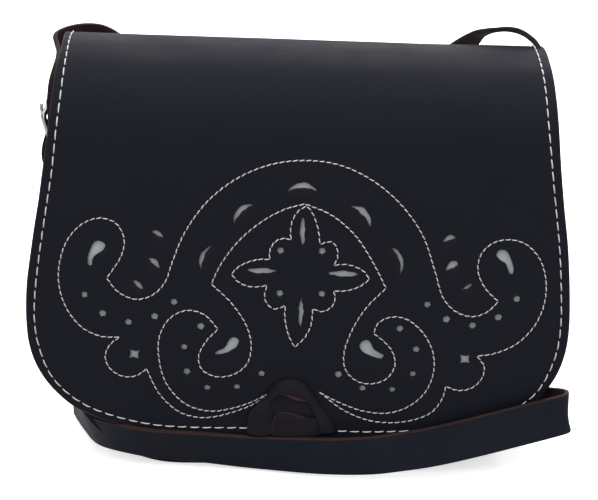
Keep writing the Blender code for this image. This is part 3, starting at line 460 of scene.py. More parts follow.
def stitches(name, lines, place, pitch, visible, radius, proud=0.32, sway=2.5):
    """Separate stitches of thread along flat lines: rounded tubes whose ends go into the leather."""
    bm = bmesh.new()
    for line in lines:
        fine = resample(line, 0.25)
        marks = marks_of(fine)
        count = max(1, int(round(marks[-1] / pitch)))
        real = marks[-1] / count

        def spot(mark):
            return np.array([np.interp(mark, marks, column) for column in fine.T])

        for k in range(count):
            start = (k + 0.5) * real - visible / 2 * chance.uniform(0.95, 1.04)
            stop = (k + 0.5) * real + visible / 2 * chance.uniform(0.95, 1.04)
            lean = math.tan(math.radians(sway)) * visible / 2 * chance.uniform(0.4, 1.4)
            rows = []
            for t, lift, fat in STITCH:
                mark = start + (stop - start) * t
                way = spot(mark + 0.4) - spot(mark - 0.4)
                way /= max(np.linalg.norm(way), 1e-9)
                q = spot(mark) + np.array([-way[1], way[0]]) * lean * (t - 0.5) * 2
                depth, size = -lift * proud, fat * radius
                middle = place(q[0], q[1], depth)
                up = (place(q[0], q[1], depth - 1.0) - middle).normalized()
                across = place(q[0] - way[1], q[1] + way[0], depth) - middle
                across = (across - up * across.dot(up)).normalized()
                rows.append([bm.verts.new(middle + (across * math.cos(a) + up * math.sin(a)) * size * MM)
                             for a in turns(6)])
            skin(bm, rows, cap=0)
    return add(name, bm, [thread])


def headings(points, closed):
    """Direction of a line of places at each of them."""
    ways = []
    count = len(points)
    for i in range(count):
        before = points[i - 1] if closed or i else points[0]
        after = points[(i + 1) % count] if closed or i < count - 1 else points[-1]
        ways.append((after - before).normalized())
    return ways


def band(name, places, facings, width, thick, looks, closed=False, narrow=None, rim=0.5, dyed=None):
    """Flat strip along places: grain on the side that it faces, raw edges and a flesh side."""
    half, t = width / 2, thick / 2
    r = min(rim, t * 0.8)
    low_rim = 3 if len(looks) > 3 else 1
    flat = [(-1 + 2 * i / 6) * (half - r) for i in range(7)]
    edge = [(half - 0.3 * r, t - 0.3 * r), (half, t - r), (half, r - t), (half - 0.3 * r, 0.3 * r - t)]
    section = [(x, t, 0) for x in flat] + [(x, y, 1) for x, y in edge]
    section += [(-x, -t, 2) for x in flat] + [(-x, -y, low_rim) for x, y in edge]
    bm = bmesh.new()
    rows = []
    for i, (place, along) in enumerate(zip(places, headings(places, closed))):
        facing = (facings[i] - along * facings[i].dot(along)).normalized()
        across = along.cross(facing)
        squeeze = narrow[i] if narrow else 1.0
        rows.append([bm.verts.new((place + across * a * squeeze + facing * b) * MM) for a, b, _ in section])

    def look(k, i, j):
        kinds = {section[i][2], section[j][2]}
        kind = kinds.pop() if len(kinds) == 1 else max(kinds & {1, 3})
        return 3 if kind == 1 and dyed and dyed(k) else kind

    skin(bm, rows + rows[:1] if closed else rows, look, None if closed else 1)
    return weigh(add(name, bm, looks))


def turned(name, profile, sides, turn, body, node):
    """Metal body of revolution; a profile that ends off the axis closes on itself."""
    bm = bmesh.new()
    rows = [[bm.verts.new((radius * MM * math.cos(a), radius * MM * math.sin(a), height * MM))
             for a in turns(sides if radius else 1)] for radius, height in profile]
    skin(bm, rows + rows[:1] if profile[-1][0] else rows)
    made = add(name, bm, [metal])
    made.data.set_sharp_from_angle(angle=math.radians(40))
    made.matrix_world = turn
    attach(made, body)
    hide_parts(node)


def tube(name, points, radius, closed, sides):
    """Round metal wire along places in millimetres."""
    bm = bmesh.new()
    rows = []
    up = None
    for point, along in zip(points, headings(points, closed)):
        if up is None:
            up = along.orthogonal().normalized()
        up = (up - along * up.dot(along)).normalized()
        across = along.cross(up)
        rows.append([bm.verts.new((point + (across * math.cos(a) + up * math.sin(a)) * radius) * MM)
                     for a in turns(sides)])
    if closed:
        last, head = rows[-1], rows[0]
        shift = min(range(sides), key=lambda k: (head[k].co - last[0].co).length)
        ahead = (head[(shift + 1) % sides].co - last[1].co).length
        turn = 1 if ahead < (head[shift - 1].co - last[1].co).length else -1
        rows.append([head[(shift + turn * k) % sides] for k in range(sides)])
    skin(bm, rows, cap=None if closed else 0)
    return add(name, bm, [metal])


# Materials
def solid(colour, share=1.0):
    """Colour with its alpha, darkened to a share."""
    return tuple(value * share for value in colour) + (1,)


def feed(tree, node, inputs):
    """Puts a number, a colour or a link into each of a node's inputs that are named."""
    for key, value in inputs.items():
        if isinstance(value, (int, float, tuple)):
            node.inputs[key].default_value = value
        else:
            tree.links.new(value, node.inputs[key])
    return node


def new_node(tree, kind, inputs=(), **values):
    """Node with its settings and inputs."""
    node = tree.nodes.new(kind)
    for key, value in values.items():
        setattr(node, key, value)
    return feed(tree, node, dict(inputs))


class Nodes:
    """A material in work, with short names for the nodes that the looks are made of."""

    def __init__(self, name):
        self.made = bpy.data.materials.new(name)
        self.made.use_nodes = True
        self.tree = self.made.node_tree
        self.shader = self.tree.nodes["Principled BSDF"]
        self.where = self.new("ShaderNodeTexCoord").outputs["Object"]

    def new(self, kind, inputs=(), **values):
        return new_node(self.tree, kind, inputs, **values)

    def noise(self, scale, detail=3.0, rough=0.5, distort=0.0):
        return self.new("ShaderNodeTexNoise", {"Scale": scale, "Detail": detail, "Roughness": rough,
                                               "Distortion": distort, "Vector": self.where}).outputs["Fac"]

    def spread(self, value, low, high, to_low, to_high):
        return self.new("ShaderNodeMapRange", {"From Min": low, "From Max": high, "To Min": to_low,
                                               "To Max": to_high, "Value": value}).outputs["Result"]

    def mix(self, share, first, second):
        return self.new("ShaderNodeMix", {0: share, 6: first, 7: second}, data_type="RGBA").outputs[2]

    def total(self, first, second, share):
        return self.new("ShaderNodeMath", {0: second, 1: share, 2: first},
                        operation="MULTIPLY_ADD").outputs[0]

    def bump(self, height, distance, strength):
        node = self.new("ShaderNodeBump", {"Distance": distance, "Strength": strength, "Height": height})
        feed(self.tree, self.shader, {"Normal": node.outputs["Normal"]})

    def done(self, viewport, **values):
        """Sets the shader's inputs and the plain viewport colour."""
        feed(self.tree, self.shader, {key.replace("_", " "): value for key, value in values.items()})
        self.made.diffuse_color = solid(viewport)
        return self.made


def leather(name, dark, light, rough, grain, specular):
    """Finished leather: pebble grain, pores, slow tone changes and a slightly uneven polish."""
    m = Nodes(name)
    tone = m.spread(m.noise(28, 4, 0.55), 0.35, 0.65, 0.0, 1.0)
    pores = m.spread(m.noise(2600, 2, 0.6), 0.30, 0.62, 0.0, 1.0)
    colour = m.mix(m.spread(tone, 0.0, 1.0, 0.0, 0.75), solid(dark), solid(light))
    colour = m.mix(m.spread(pores, 0.0, 0.25, 0.35, 0.0), colour, solid(dark, 0.5))
    # Painted brown shade on the pressed-in lips beside the crescents, from each hide point's share
    lip_shade_and_metal_wear = m.new("ShaderNodeAttribute", attribute_name="lip_shade_and_metal_wear").outputs["Fac"]
    colour = m.mix(m.spread(lip_shade_and_metal_wear, 0.05, 0.9, 0.0, 0.5), colour, solid((0.024, 0.0125, 0.0135)))
    cells = m.new("ShaderNodeTexVoronoi", {"Scale": 1050, "Randomness": 0.9, "Vector": m.where},
                  feature="SMOOTH_F1")
    pebble = m.spread(cells.outputs["Distance"], 0.0, 0.75, 1.0, 0.0)
    height = m.total(pebble, m.noise(420, 3, 0.5, 0.4), 0.9)
    height = m.total(m.total(height, pores, 0.28), m.noise(90, 3, 0.6), 1.3)
    m.bump(height, grain * MM, 0.8)
    polish = m.spread(m.total(tone, pebble, 0.5), 0.0, 1.5, rough - 0.07, rough + 0.09)
    return m.done(light, Base_Color=colour, Roughness=polish, Specular_IOR_Level=specular)


def raw_edge(name, dark, light, specular):
    """Cut edge: packed fibres in layers, waxed and burnished."""
    m = Nodes(name)
    fibres = m.noise(1500, 4, 0.65, 1.2)
    colour = m.mix(m.spread(fibres, 0.3, 0.7, 0.0, 1.0), solid(dark), solid(light))
    colour = m.mix(m.spread(m.noise(60, 3, 0.6), 0.4, 0.7, 0.0, 0.5), colour, solid(dark, 0.5))
    m.bump(fibres, 0.18 * MM, 0.8)
    return m.done(light, Base_Color=colour, Roughness=m.spread(fibres, 0.3, 0.7, 0.42, 0.68),
                  Specular_IOR_Level=specular)


def suede(name, dark, light, nap=0.35):
    """Flesh side or suede: short matted fibres and faint brushed patches."""
    m = Nodes(name)
    fibres = m.noise(2400, 5, 0.7, 0.8)
    patch = m.noise(45, 4, 0.6, 0.5)
    colour = m.mix(m.spread(m.total(fibres, patch, 0.8), 0.6, 1.2, 0.0, 1.0), solid(dark), solid(light))
    m.bump(m.total(fibres, patch, 0.6), nap * MM, 0.7)
    return m.done(light, Base_Color=colour, Roughness=0.92, Specular_IOR_Level=0.05, Sheen_Weight=0.02,
                  Sheen_Roughness=0.6)


def thread_look():
    m = Nodes("waxed_thread")
    wave = m.new("ShaderNodeTexWave", {"Scale": 620, "Distortion": 2.0, "Vector": m.where},
                 wave_type="BANDS", bands_direction="DIAGONAL")
    soil = m.spread(m.noise(130, 3, 0.6), 0.35, 0.75, 0.0, 0.7)
    colour = m.mix(soil, solid((0.76, 0.71, 0.67)), solid((0.52, 0.47, 0.44)))
    m.bump(m.total(wave.outputs["Fac"], m.noise(3800, 2), 0.6), 0.10 * MM, 0.8)
    return m.done((0.7, 0.64, 0.58), Base_Color=colour, Roughness=0.55, Specular_IOR_Level=0.35,
                  Sheen_Weight=0.2)


def metal_look():
    m = Nodes("dark_metal")
    scratch = m.noise(900, 3, 0.6, 1.5)
    lip_shade_and_metal_wear = m.spread(m.noise(70, 4, 0.6), 0.45, 0.75, 0.0, 1.0)
    m.bump(scratch, 0.03 * MM, 0.5)
    return m.done((0.2, 0.19, 0.18), Metallic=1.0, Roughness=m.spread(scratch, 0.3, 0.7, 0.24, 0.42),
                  Base_Color=m.mix(lip_shade_and_metal_wear, solid((0.17, 0.16, 0.155)), solid((0.30, 0.285, 0.27))))


black = leather("black_leather_grain", (0.0060, 0.0069, 0.0110), (0.0093, 0.0101, 0.0148),
                0.68, 0.10, 0.072)
strap_black = leather("strap_leather_grain", (0.0100, 0.0122, 0.0185), (0.0160, 0.0176, 0.0236),
                      0.60, 0.05, 0.04)
knot_black = leather("knot_leather_grain", (0.0090, 0.0078, 0.0105), (0.0150, 0.0132, 0.0168),
                     0.60, 0.10, 0.05)
brown_edge = raw_edge("brown_raw_edge", (0.019, 0.0095, 0.0088), (0.049, 0.0245, 0.0215), 0.10)
lip_brown = raw_edge("knot_lip_brown", (0.036, 0.015, 0.011), (0.096, 0.040, 0.028), 0.12)
dark_edge = raw_edge("dark_cut_rim", (0.0100, 0.0070, 0.0078), (0.028, 0.0175, 0.018), 0.06)
knot_brown = raw_edge("knot_brown_edge", (0.013, 0.0078, 0.0080), (0.034, 0.0190, 0.0190), 0.08)
knot_rim = raw_edge("knot_dark_edge", (0.006, 0.005, 0.006), (0.017, 0.012, 0.014), 0.05)
flesh = suede("brown_flesh_side", (0.018, 0.0086, 0.0085), (0.037, 0.0178, 0.0170))
dark_suede = suede("dark_lining_suede", (0.020, 0.016, 0.015), (0.042, 0.034, 0.031), 0.25)
pale = suede("pale_inlay_leather", (0.40, 0.425, 0.42), (0.60, 0.625, 0.61), 0.12)
thread = thread_look()
metal = metal_look()


# The hide: back, fold and flap in one
def hide_outline():
    """Whole outline: from the lower edge up the right side, over the back and down the left."""
    lower = [(x, BASE_UP - z) for x, z in round_base(180, 14)] + [(0.0, BASE_UP)]
    halves = []
    for table in (RIGHT_EDGE, LEFT_EDGE):
        half = [tuple(q) for q in spline(table, 1.8)] + [tuple(q) for q in resample(lower, 3.0)]
        half = [q for i, q in enumerate(half) if i == 0 or math.dist(q, half[i - 1]) > 0.3]
        half[-1] = (0.0, BASE_UP)
        halves.append(half)
    return mirrored(*halves)


def ragged(loop, amount):
    """Hand-cut outline: small random steps."""
    return [(x + chance.uniform(-amount, amount), u + chance.uniform(-amount, amount)) for x, u in loop]


def closed_loop(one, two):
    """Outline between two lines that share both tips."""
    return [tuple(q) for q in one] + [tuple(q) for q in two[-2:0:-1]]


def spindle(a, b, width, steps=9):
    """Pointed slit between two tips."""
    a, b = np.array(a), np.array(b)
    size = np.linalg.norm(b - a)
    way = (b - a) / size
    beside = np.array([-way[1], way[0]])
    one, two = [], []
    for i in range(steps + 1):
        t = i / steps
        fat = width / 2 * math.sin(math.pi * t) ** 0.75
        base = a + way * size * t
        one.append(base + beside * fat)
        two.append(base - beside * fat)
    return closed_loop(one, two)


def crescent(a, m, b, width, steps=9):
    """Cut between two arcs that meet at both tips."""
    a, m, b = (np.array(q, float) for q in (a, m, b))
    rise = m - (a + b) / 2
    size = max(np.linalg.norm(rise), 1e-6)
    outer, inner = [], []
    for i in range(steps + 1):
        t = i / steps
        base = a + (b - a) * t
        bow = 4 * t * (1 - t)
        outer.append(base + rise * bow * (1 + 0.4 * width / size))
        inner.append(base + rise * bow * (1 - 0.6 * width / size))
    return closed_loop(outer, inner)


def star(x, u, turn):
    """Four-pointed punched star, turned by degrees."""
    points = []
    for i, angle in enumerate(turns(16)):
        reach = 3.7 * (1.0, 0.62, 0.52, 0.62)[i % 4]
        a = angle + math.radians(turn)
        points.append((x + reach * math.cos(a), u + reach * math.sin(a)))
    return points


def dot(middle, radius, sides, lobes=0.0, turn=0.0):
    """Punched hole; a worn punch leaves five faint corners."""
    points = []
    for a in turns(sides):
        reach = radius * (1 + lobes * math.cos(5 * a + turn))
        points.append((middle[0] + reach * math.cos(a) * 0.97, middle[1] + reach * math.sin(a)))
    return points


def flap_holes():
    holes = [ragged(spindle(a, b, width), 0.34) for a, b, width in SLITS]
    holes += [ragged(crescent(a, m, b, width), 0.30) for a, m, b, width in MOONS]
    holes += [ragged(loop, 0.16) for loop in DROPS]
    holes += [star(*place) for place in STARS]
    for x, u in DOTS:
        for side in (-1, 1):
            size = 1.8 + chance.uniform(-0.14, 0.14)
            holes.append(ragged(dot((side * x, u), size, 15, 0.13, chance.uniform(0, 6)), 0.06))
    return holes


MIRROR = np.array([-1, 1])
seam_lower = resample([(x, BASE_UP - z) for x, z in seam_round(175)], SEAM_STEP)
right_border = spline(RIGHT_BORDER, SEAM_STEP)
left_border = spline(LEFT_BORDER, SEAM_STEP) * MIRROR
seam_full = np.vstack([right_border, seam_lower, (seam_lower * MIRROR)[::-1][1:], left_border[::-1]])
outer_lines, inner_lines, flower_lines = ([spline(run, 0.8) for run in runs]
                                          for runs in (OUTER_SCROLL, INNER_SCROLL, FLOWER))
groove_lines = [seam_full] + outer_lines + inner_lines + flower_lines
groove_tree = tree_of(np.vstack([resample(line, 1.0) for line in groove_lines]))


def groove_extra():
    """Flat points in and beside the stitch lines, so that the leather can dip there."""
    points = []
    for line in groove_lines:
        even = resample(line, 1.7)
        way = units(np.gradient(even, axis=0))
        beside = np.stack([-way[:, 1], way[:, 0]], 1)
        points += [even, even + beside, even - beside]
    return np.vstack(points)


# Where the tongue of leather beside each crescent is pressed in: (x, u, strength)
moon_lips = []
for a, m, b, width in MOONS:
    a, m, b = (np.array(q, float) for q in (a, m, b))
    inward = (a + b) / 2 - m
    inward /= np.linalg.norm(inward)
    for t in (0.15, 0.32, 0.5, 0.68, 0.85):
        bow = 4 * t * (1 - t)
        q = a + (b - a) * t + (m - (a + b) / 2) * bow + inward * (0.7 + width * 0.6)
        moon_lips.append((q[0], q[1], min(1.0, width / 2.0) * bow ** 0.5))


def lip(x, u):
    """How far the leather beside a crescent is pressed in, as a share."""
    most = 0.0
    for a, b, strength in moon_lips:
        if abs(a - x) < 4 and abs(b - u) < 4:
            most = max(most, strength * math.exp(-((x - a) ** 2 + (u - b) ** 2) / 1.2))
    return most


def hide_dip(x, u):
    """Depth of the pull of the stitches and of the pressed lips."""
    distance = groove_tree.find((x, u, 0))[2]
    return (0.26 * math.exp(-(distance / 0.75) ** 2) if distance < 2.5 else 0.0) + 0.5 * lip(x, u)


def lip_points():
    """Flat points at and round each lip, so that the leather can dip there."""
    points = []
    for a, b, _ in moon_lips:
        points += [(a + 1.3 * math.cos(turn), b + 1.3 * math.sin(turn)) for turn in turns(7)]
        points.append((a, b))
    return np.array(points)


def hide_rim(q, sign):
    """Brown for the outer edge and for the crescents, dark for the other cut-outs."""
    return 1 if sign < 0 or any(math.dist(q, m) < 10 for _, m, _, _ in MOONS) else 3


flat_of = {}


def on_hide_kept(x, u, depth):
    """The hide's place, with its flat point kept for the painted shade on the crescents' lips."""
    spot = on_hide(x, u, depth)
    flat_of[tuple(round(value, 7) for value in spot)] = (x, u)
    return spot


holes = flap_holes()
hide = sheet("hide_skin", hide_outline(), holes, on_hide_kept, HIDE, 3.4,
             [black, brown_edge, flesh, dark_edge], extra=np.vstack([groove_extra(), lip_points()]),
             dip=hide_dip, rim_look=hide_rim)
# Share of painted brown shade in the pressed-in lips beside the crescents, kept on each of the hide's points
shares = []
for vert in hide.data.vertices:
    x, u = flat_of.get(tuple(round(value, 7) for value in vert.co), (0.0, 300.0))
    shares.append(lip(x, u) if u < 160 else 0.0)
hide.data.attributes.new("lip_shade_and_metal_wear", "FLOAT", "POINT").data.foreach_set("value", shares)
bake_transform(hide)
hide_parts("back_panel", "flap_cutwork")

border = stitches("stitch_border", [seam_full], on_hide, SEAM_PITCH, 5.0, 0.33)
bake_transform(border)
for name, lines in (("stitch_outer_scroll", outer_lines), ("stitch_inner_scroll", inner_lines),
                    ("stitch_flower", flower_lines)):
    made = stitches(name, lines, on_hide, SCROLL_PITCH, 2.75, 0.28, proud=0.22, sway=7)
    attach(made, "flap")

# Pale leather behind the cut-outs and the flap's lining
right_part, left_part = ([tuple(q) for q in spline([q for q in table if q[1] < LINING_TOP] + [end], 4.0)]
                         for table, end in ((RIGHT_EDGE, (127.2, 236.5)), (LEFT_EDGE, (126.0, 236.5))))


def flap_inset(distance, top):
    """Outline inside the flap's edge, level at its top."""
    ring = grow(right_part + [(-x, u) for x, u in reversed(left_part[1:])], -distance)
    return [(x, min(u, top)) for x, u in ring if u < top + 6]


inlay = sheet("inlay_sheet", flap_inset(9, INLAY_TOP), [], lambda x, u, d: on_hide(x, u, INLAY_DEPTH + d),
              0.8, 6.0, [pale, pale, pale], rim=0.25)
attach(inlay, "flap")
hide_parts("flap_inlay")
lining = sheet("lining_sheet", flap_inset(1.3, LINING_TOP), [],
               lambda x, u, d: on_hide(x, u, LINING_DEPTH + d), LINING_THICK, 6.0,
               [dark_suede, dark_suede, dark_suede], rim=0.3)
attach(lining, "flap")
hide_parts("flap_lining")
under = stitches("stitch_lining", [line[line[:, 1] < 228] for line in (right_border, left_border)],
                 lambda x, u, d: on_hide(x, u, LINING_DEPTH + LINING_THICK - d), SEAM_PITCH, 4.9, 0.36)
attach(under, "flap")


# The body: front panel and gusset
def on_front(x, z, depth):
    """Front panel's grain side faces forwards; it swells a little where the bag is full."""
    across = math.cos(math.pi * min(1, abs(x) / BODY_HALF) / 2)
    belly = math.sin(math.pi * min(1, max(0, z / FRONT_HEIGHT))) * across
    rise = 0.9 * belly * (0 if z < 50 and abs(x) < 12 else 1)
    rise += 0.25 * noise.noise(Vector((x / 45, z / 45, 5)))
    lean = 1.2 * max(0, (z - (FRONT_HEIGHT - 32)) / 32) ** 2 * across
    edge = min(1.0, (BODY_HALF - abs(x)) / 14, z / 14 if abs(x) < BASE_HALF else 1.0)
    return Vector((x, -PANEL_FACE + depth - rise * max(0, edge) + lean, z)) * MM


front_half = [(0.0, 180.6), (60, 180.9), (110, 181.7), (119, 181.6), (122.6, 180.2), (124, 176)]
front_half += round_base(170, 18) + [(0.0, 0.0)]
front_loop = mirrored([tuple(q) for q in resample(front_half, 2.4)])
front = sheet("front_skin", front_loop, [dot((0, SNAP_HEIGHT), 2.8, 20)], on_front, FRONT_THICK, 6.0,
              [black, brown_edge, flesh])
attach(front, "bag")
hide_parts("front_panel")
seam = resample(seam_round(174), SEAM_STEP)
front_seam = np.vstack([seam, (seam * MIRROR)[::-1][1:]])
top_seam = resample([(-116, 177.2), (-60, 176.6), (0, 176.2), (60, 176.6), (116, 177.2)], SEAM_STEP)
made = stitches("stitch_front", [front_seam, top_seam], on_front, SEAM_PITCH, 4.9, 0.36)
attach(made, "bag")


def gusset():
    """Strip round the body: grain outside, edges turned in against the panels, soft shallow waves."""
    side = [(0.08, 28.9, 0), (0.35, 29.6, 0), (0.9, 30.0, 0), (8.6, 30.0, 2), (9.0, 29.6, 2), (9.0, 28.8, 2),
            (8.6, 28.4, 2), (2.6, 28.4, 2), (2.0, 27.8, 2), (2.0, 14, 2)]
    other = [(inset, -y, kind) for inset, y, kind in reversed(side)]
    section = other[-3:] + [(0.0, -27.5 + 55 * i / 12, 0) for i in range(13)]
    section += side + [(2.0, 0, 2)] + other[:-3]
    outline = [(BODY_HALF, GUSSET_TOP)] + [tuple(q) for q in resample(round_base(176, 22), 5.0)]
    outline = outline[:-1] + [tuple(q) for q in resample([outline[-1], (0.0, 0.0)], 6.0)]
    path = np.array(outline + [(-x, z) for x, z in reversed(outline[:-1])], float)
    way = units(np.gradient(path, axis=0))
    bm = bmesh.new()
    rows = []
    for k, (q, n) in enumerate(zip(path, np.stack([way[:, 1], -way[:, 0]], 1))):
        if n[0] * q[0] > 0 and abs(q[0]) > 1:
            n = -n
        if abs(q[0]) <= BASE_HALF and q[1] < 1:
            n = np.array([0.0, 1.0])
        row = []
        for inset, y, kind in section:
            wave = 0.0
            if kind == 0 and abs(y) < 28 and q[1] < 100:
                wave = 0.5 + 0.9 * noise.noise(Vector((q[0] / 40, y / 30, q[1] / 40)))
                wave *= math.cos(math.pi * y / 60)
                wave *= min(1, q[1] / 12)
            x, z = q + n * (inset + max(0, wave))
            if k in (0, len(path) - 1):
                z = GUSSET_TOP + GUSSET_RISE * (y + GUSSET_HALF) / (2 * GUSSET_HALF)
            row.append(bm.verts.new(Vector((x, y, z)) * MM))
        rows.append(row)
    skin(bm, rows, lambda k, i, j: max(section[i][2], section[j][2]), cap=1)
    return weigh(add("gusset_skin", bm, [black, brown_edge, flesh]))


side_skin = gusset()
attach(side_skin, "bag")
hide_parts("gusset")


# Knot closure
def knot_patch(name, outline, lift, thick, node, step=1.8, brown=None, rim=0.5):
    """Soft pillow of knot leather on the flap, its rim dark, or brown where asked."""
    loop = [tuple(q) for q in spline(outline, 1.0, closed=True)[:-1]]
    made = sheet(name, loop, [], lambda x, u, d: on_hide(x, u, d - lift(x, u)), thick, step,
                 [knot_black, knot_brown, flesh, knot_rim], rim=rim,
                 rim_look=lambda q, sign: 1 if brown and brown(q[0], q[1]) else 3)
    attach(made, "flap")
    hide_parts(node)


# Loop of the knot: outer edge, inner edge, share of the height, share of the brown lip; where that share is
# under a half, the cut edge is painted dark as shade
ARCH = [(-18.2, 20, -14.4, 19, 0.4, 0.1), (-17.8, 23.6, -13.8, 22.6, 0.55, 0.15),
        (-16.4, 27.4, -12.6, 25.4, 0.75, 0.2), (-13.6, 31, -10.8, 26.9, 0.92, 0.3),
        (-9.8, 33.7, -8.2, 27.4, 1, 0.55), (-5.1, 34.7, -5.2, 27, 1, 0.95), (-0.6, 33.7, -2, 26, 1, 1.1),
        (3.2, 31, 1.2, 24.8, 0.97, 1.15), (6.5, 26.9, 4.2, 23.6, 0.9, 0.95),
        (8.8, 23.2, 5.9, 20.6, 0.82, 0.35), (11.2, 19.2, 7, 17.2, 0.8, 0.3),
        (14.1, 14.8, 8.8, 13, 0.82, 0.12), (17.2, 9.4, 10, 8.4, 0.82, 0.1),
        (19.4, 3.8, 10.8, 3.2, 0.7, 0.1)]


def knot_arch():
    """Loop of leather that stands up from the flap, its cut inner edge turned to the front."""
    section = [(0.03, 0.1, 0), (0.0, 0.8, 0), (0.04, 1.9, 0), (0.14, 3.2, 0), (0.30, 4.5, 0),
               (0.52, 5.5, 0), (0.78, 5.9, 0), (0.96, 5.6, 0), (1.0, 5.4, 1), (1.12, 5.0, 1),
               (1.24, 4.2, 1), (1.22, 3.2, 2), (0.9, 2.7, 2), (0.4, 2.3, 2), (0.15, 0.4, 2)]
    bm = bmesh.new()
    rows = []
    fine = curve([np.array(row) for row in ARCH], 5)
    for ox, ou, ix, iu, rise, lip_share in fine:
        row = []
        for s, h, _ in section:
            if s > 1:
                s = 1 + (s - 1) * lip_share
            x, u = ox + (ix - ox) * s, ou + (iu - ou) * s
            h = h * rise + 0.5 * noise.noise(Vector((x / 6, u / 6, 1.5))) * min(1, h)
            row.append(bm.verts.new(on_hide(x, u, -h)))
        rows.append(row)

    # Where the lip's share is under a half, towards both ends of the loop, the cut inner edge takes the dark
    # rim as painted shade
    def look(k, i, j):
        kind = max(section[i][2], section[j][2])
        return 3 if kind == 1 and fine[k][5] < 0.5 else kind

    skin(bm, rows, look, cap=3)
    made = weigh(add("knot_arch", bm, [knot_black, lip_brown, flesh, knot_rim]))
    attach(made, "flap")
    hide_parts("knot_loop")


def hump(x, u, middle, reach, top, soft):
    """Share of a rounded cushion's height."""
    over = max(0.0, 1 - ((x - middle) / reach) ** 2)
    return over ** 0.5 * (0.35 + 0.65 * smooth((top - u) / soft))


knot_arch()
cross = [(-21.5, 8.0), (-22.4, 13.5), (-21.4, 17.6), (-18.8, 21.4), (-15.6, 25.4), (-11.2, 28.0),
         (-4.4, 28.6), (1.6, 26.8), (5.2, 24.0), (8.0, 20.6), (10.0, 17.0), (11.0, 12.0), (10.4, 8.0),
         (0, 8.0), (-10, 8.0)]
knot_patch("knot_band", cross, lambda x, u: 1.0 + 2.7 * hump(x, u, -4.5, 18.5, 24.5, 7.0), 1.8,
           "knot_collar")
strip = [(-27.3, 3.4), (-27.0, 9.6), (-25.7, 15.6), (-23.3, 19.6), (-20.3, 22.8), (-17.2, 24.0),
         (-15.0, 22.0), (-13.9, 17.0), (-13.5, 10.0), (-14.1, 3.2), (-18, 2.6), (-23, 2.7)]
knot_patch("knot_strip", strip, lambda x, u: 1.4 + 3.8 * hump(x, u, -20.2, 8.8, 23.8, 8.0), 2.0,
           "knot_tail_left", brown=lambda x, u: x < -24.0 and u < 17.2)
tab = [(-14.9, 3.0), (-14.5, 8.4), (-13.7, 13.2), (-12.0, 15.9), (-8.0, 16.7), (-3.2, 16.0),
       (0.6, 14.8), (4.2, 13.9), (7.6, 13.4), (10.4, 12.0), (11.6, 7.6), (12.0, 3.2), (6, 2.4), (-2, 2.3),
       (-9, 2.4)]
knot_patch("knot_tab", tab, lambda x, u: 2.6 + 3.4 * hump(x, u, -3.6, 14.8, 17.4, 4.5), 2.2,
           "knot_tail_right", 1.6, rim=0.9,
           brown=lambda x, u: (x < -12.0 and 3.4 < u < 14.6) or (u > 12.6 and -11.0 < x < 2.6))

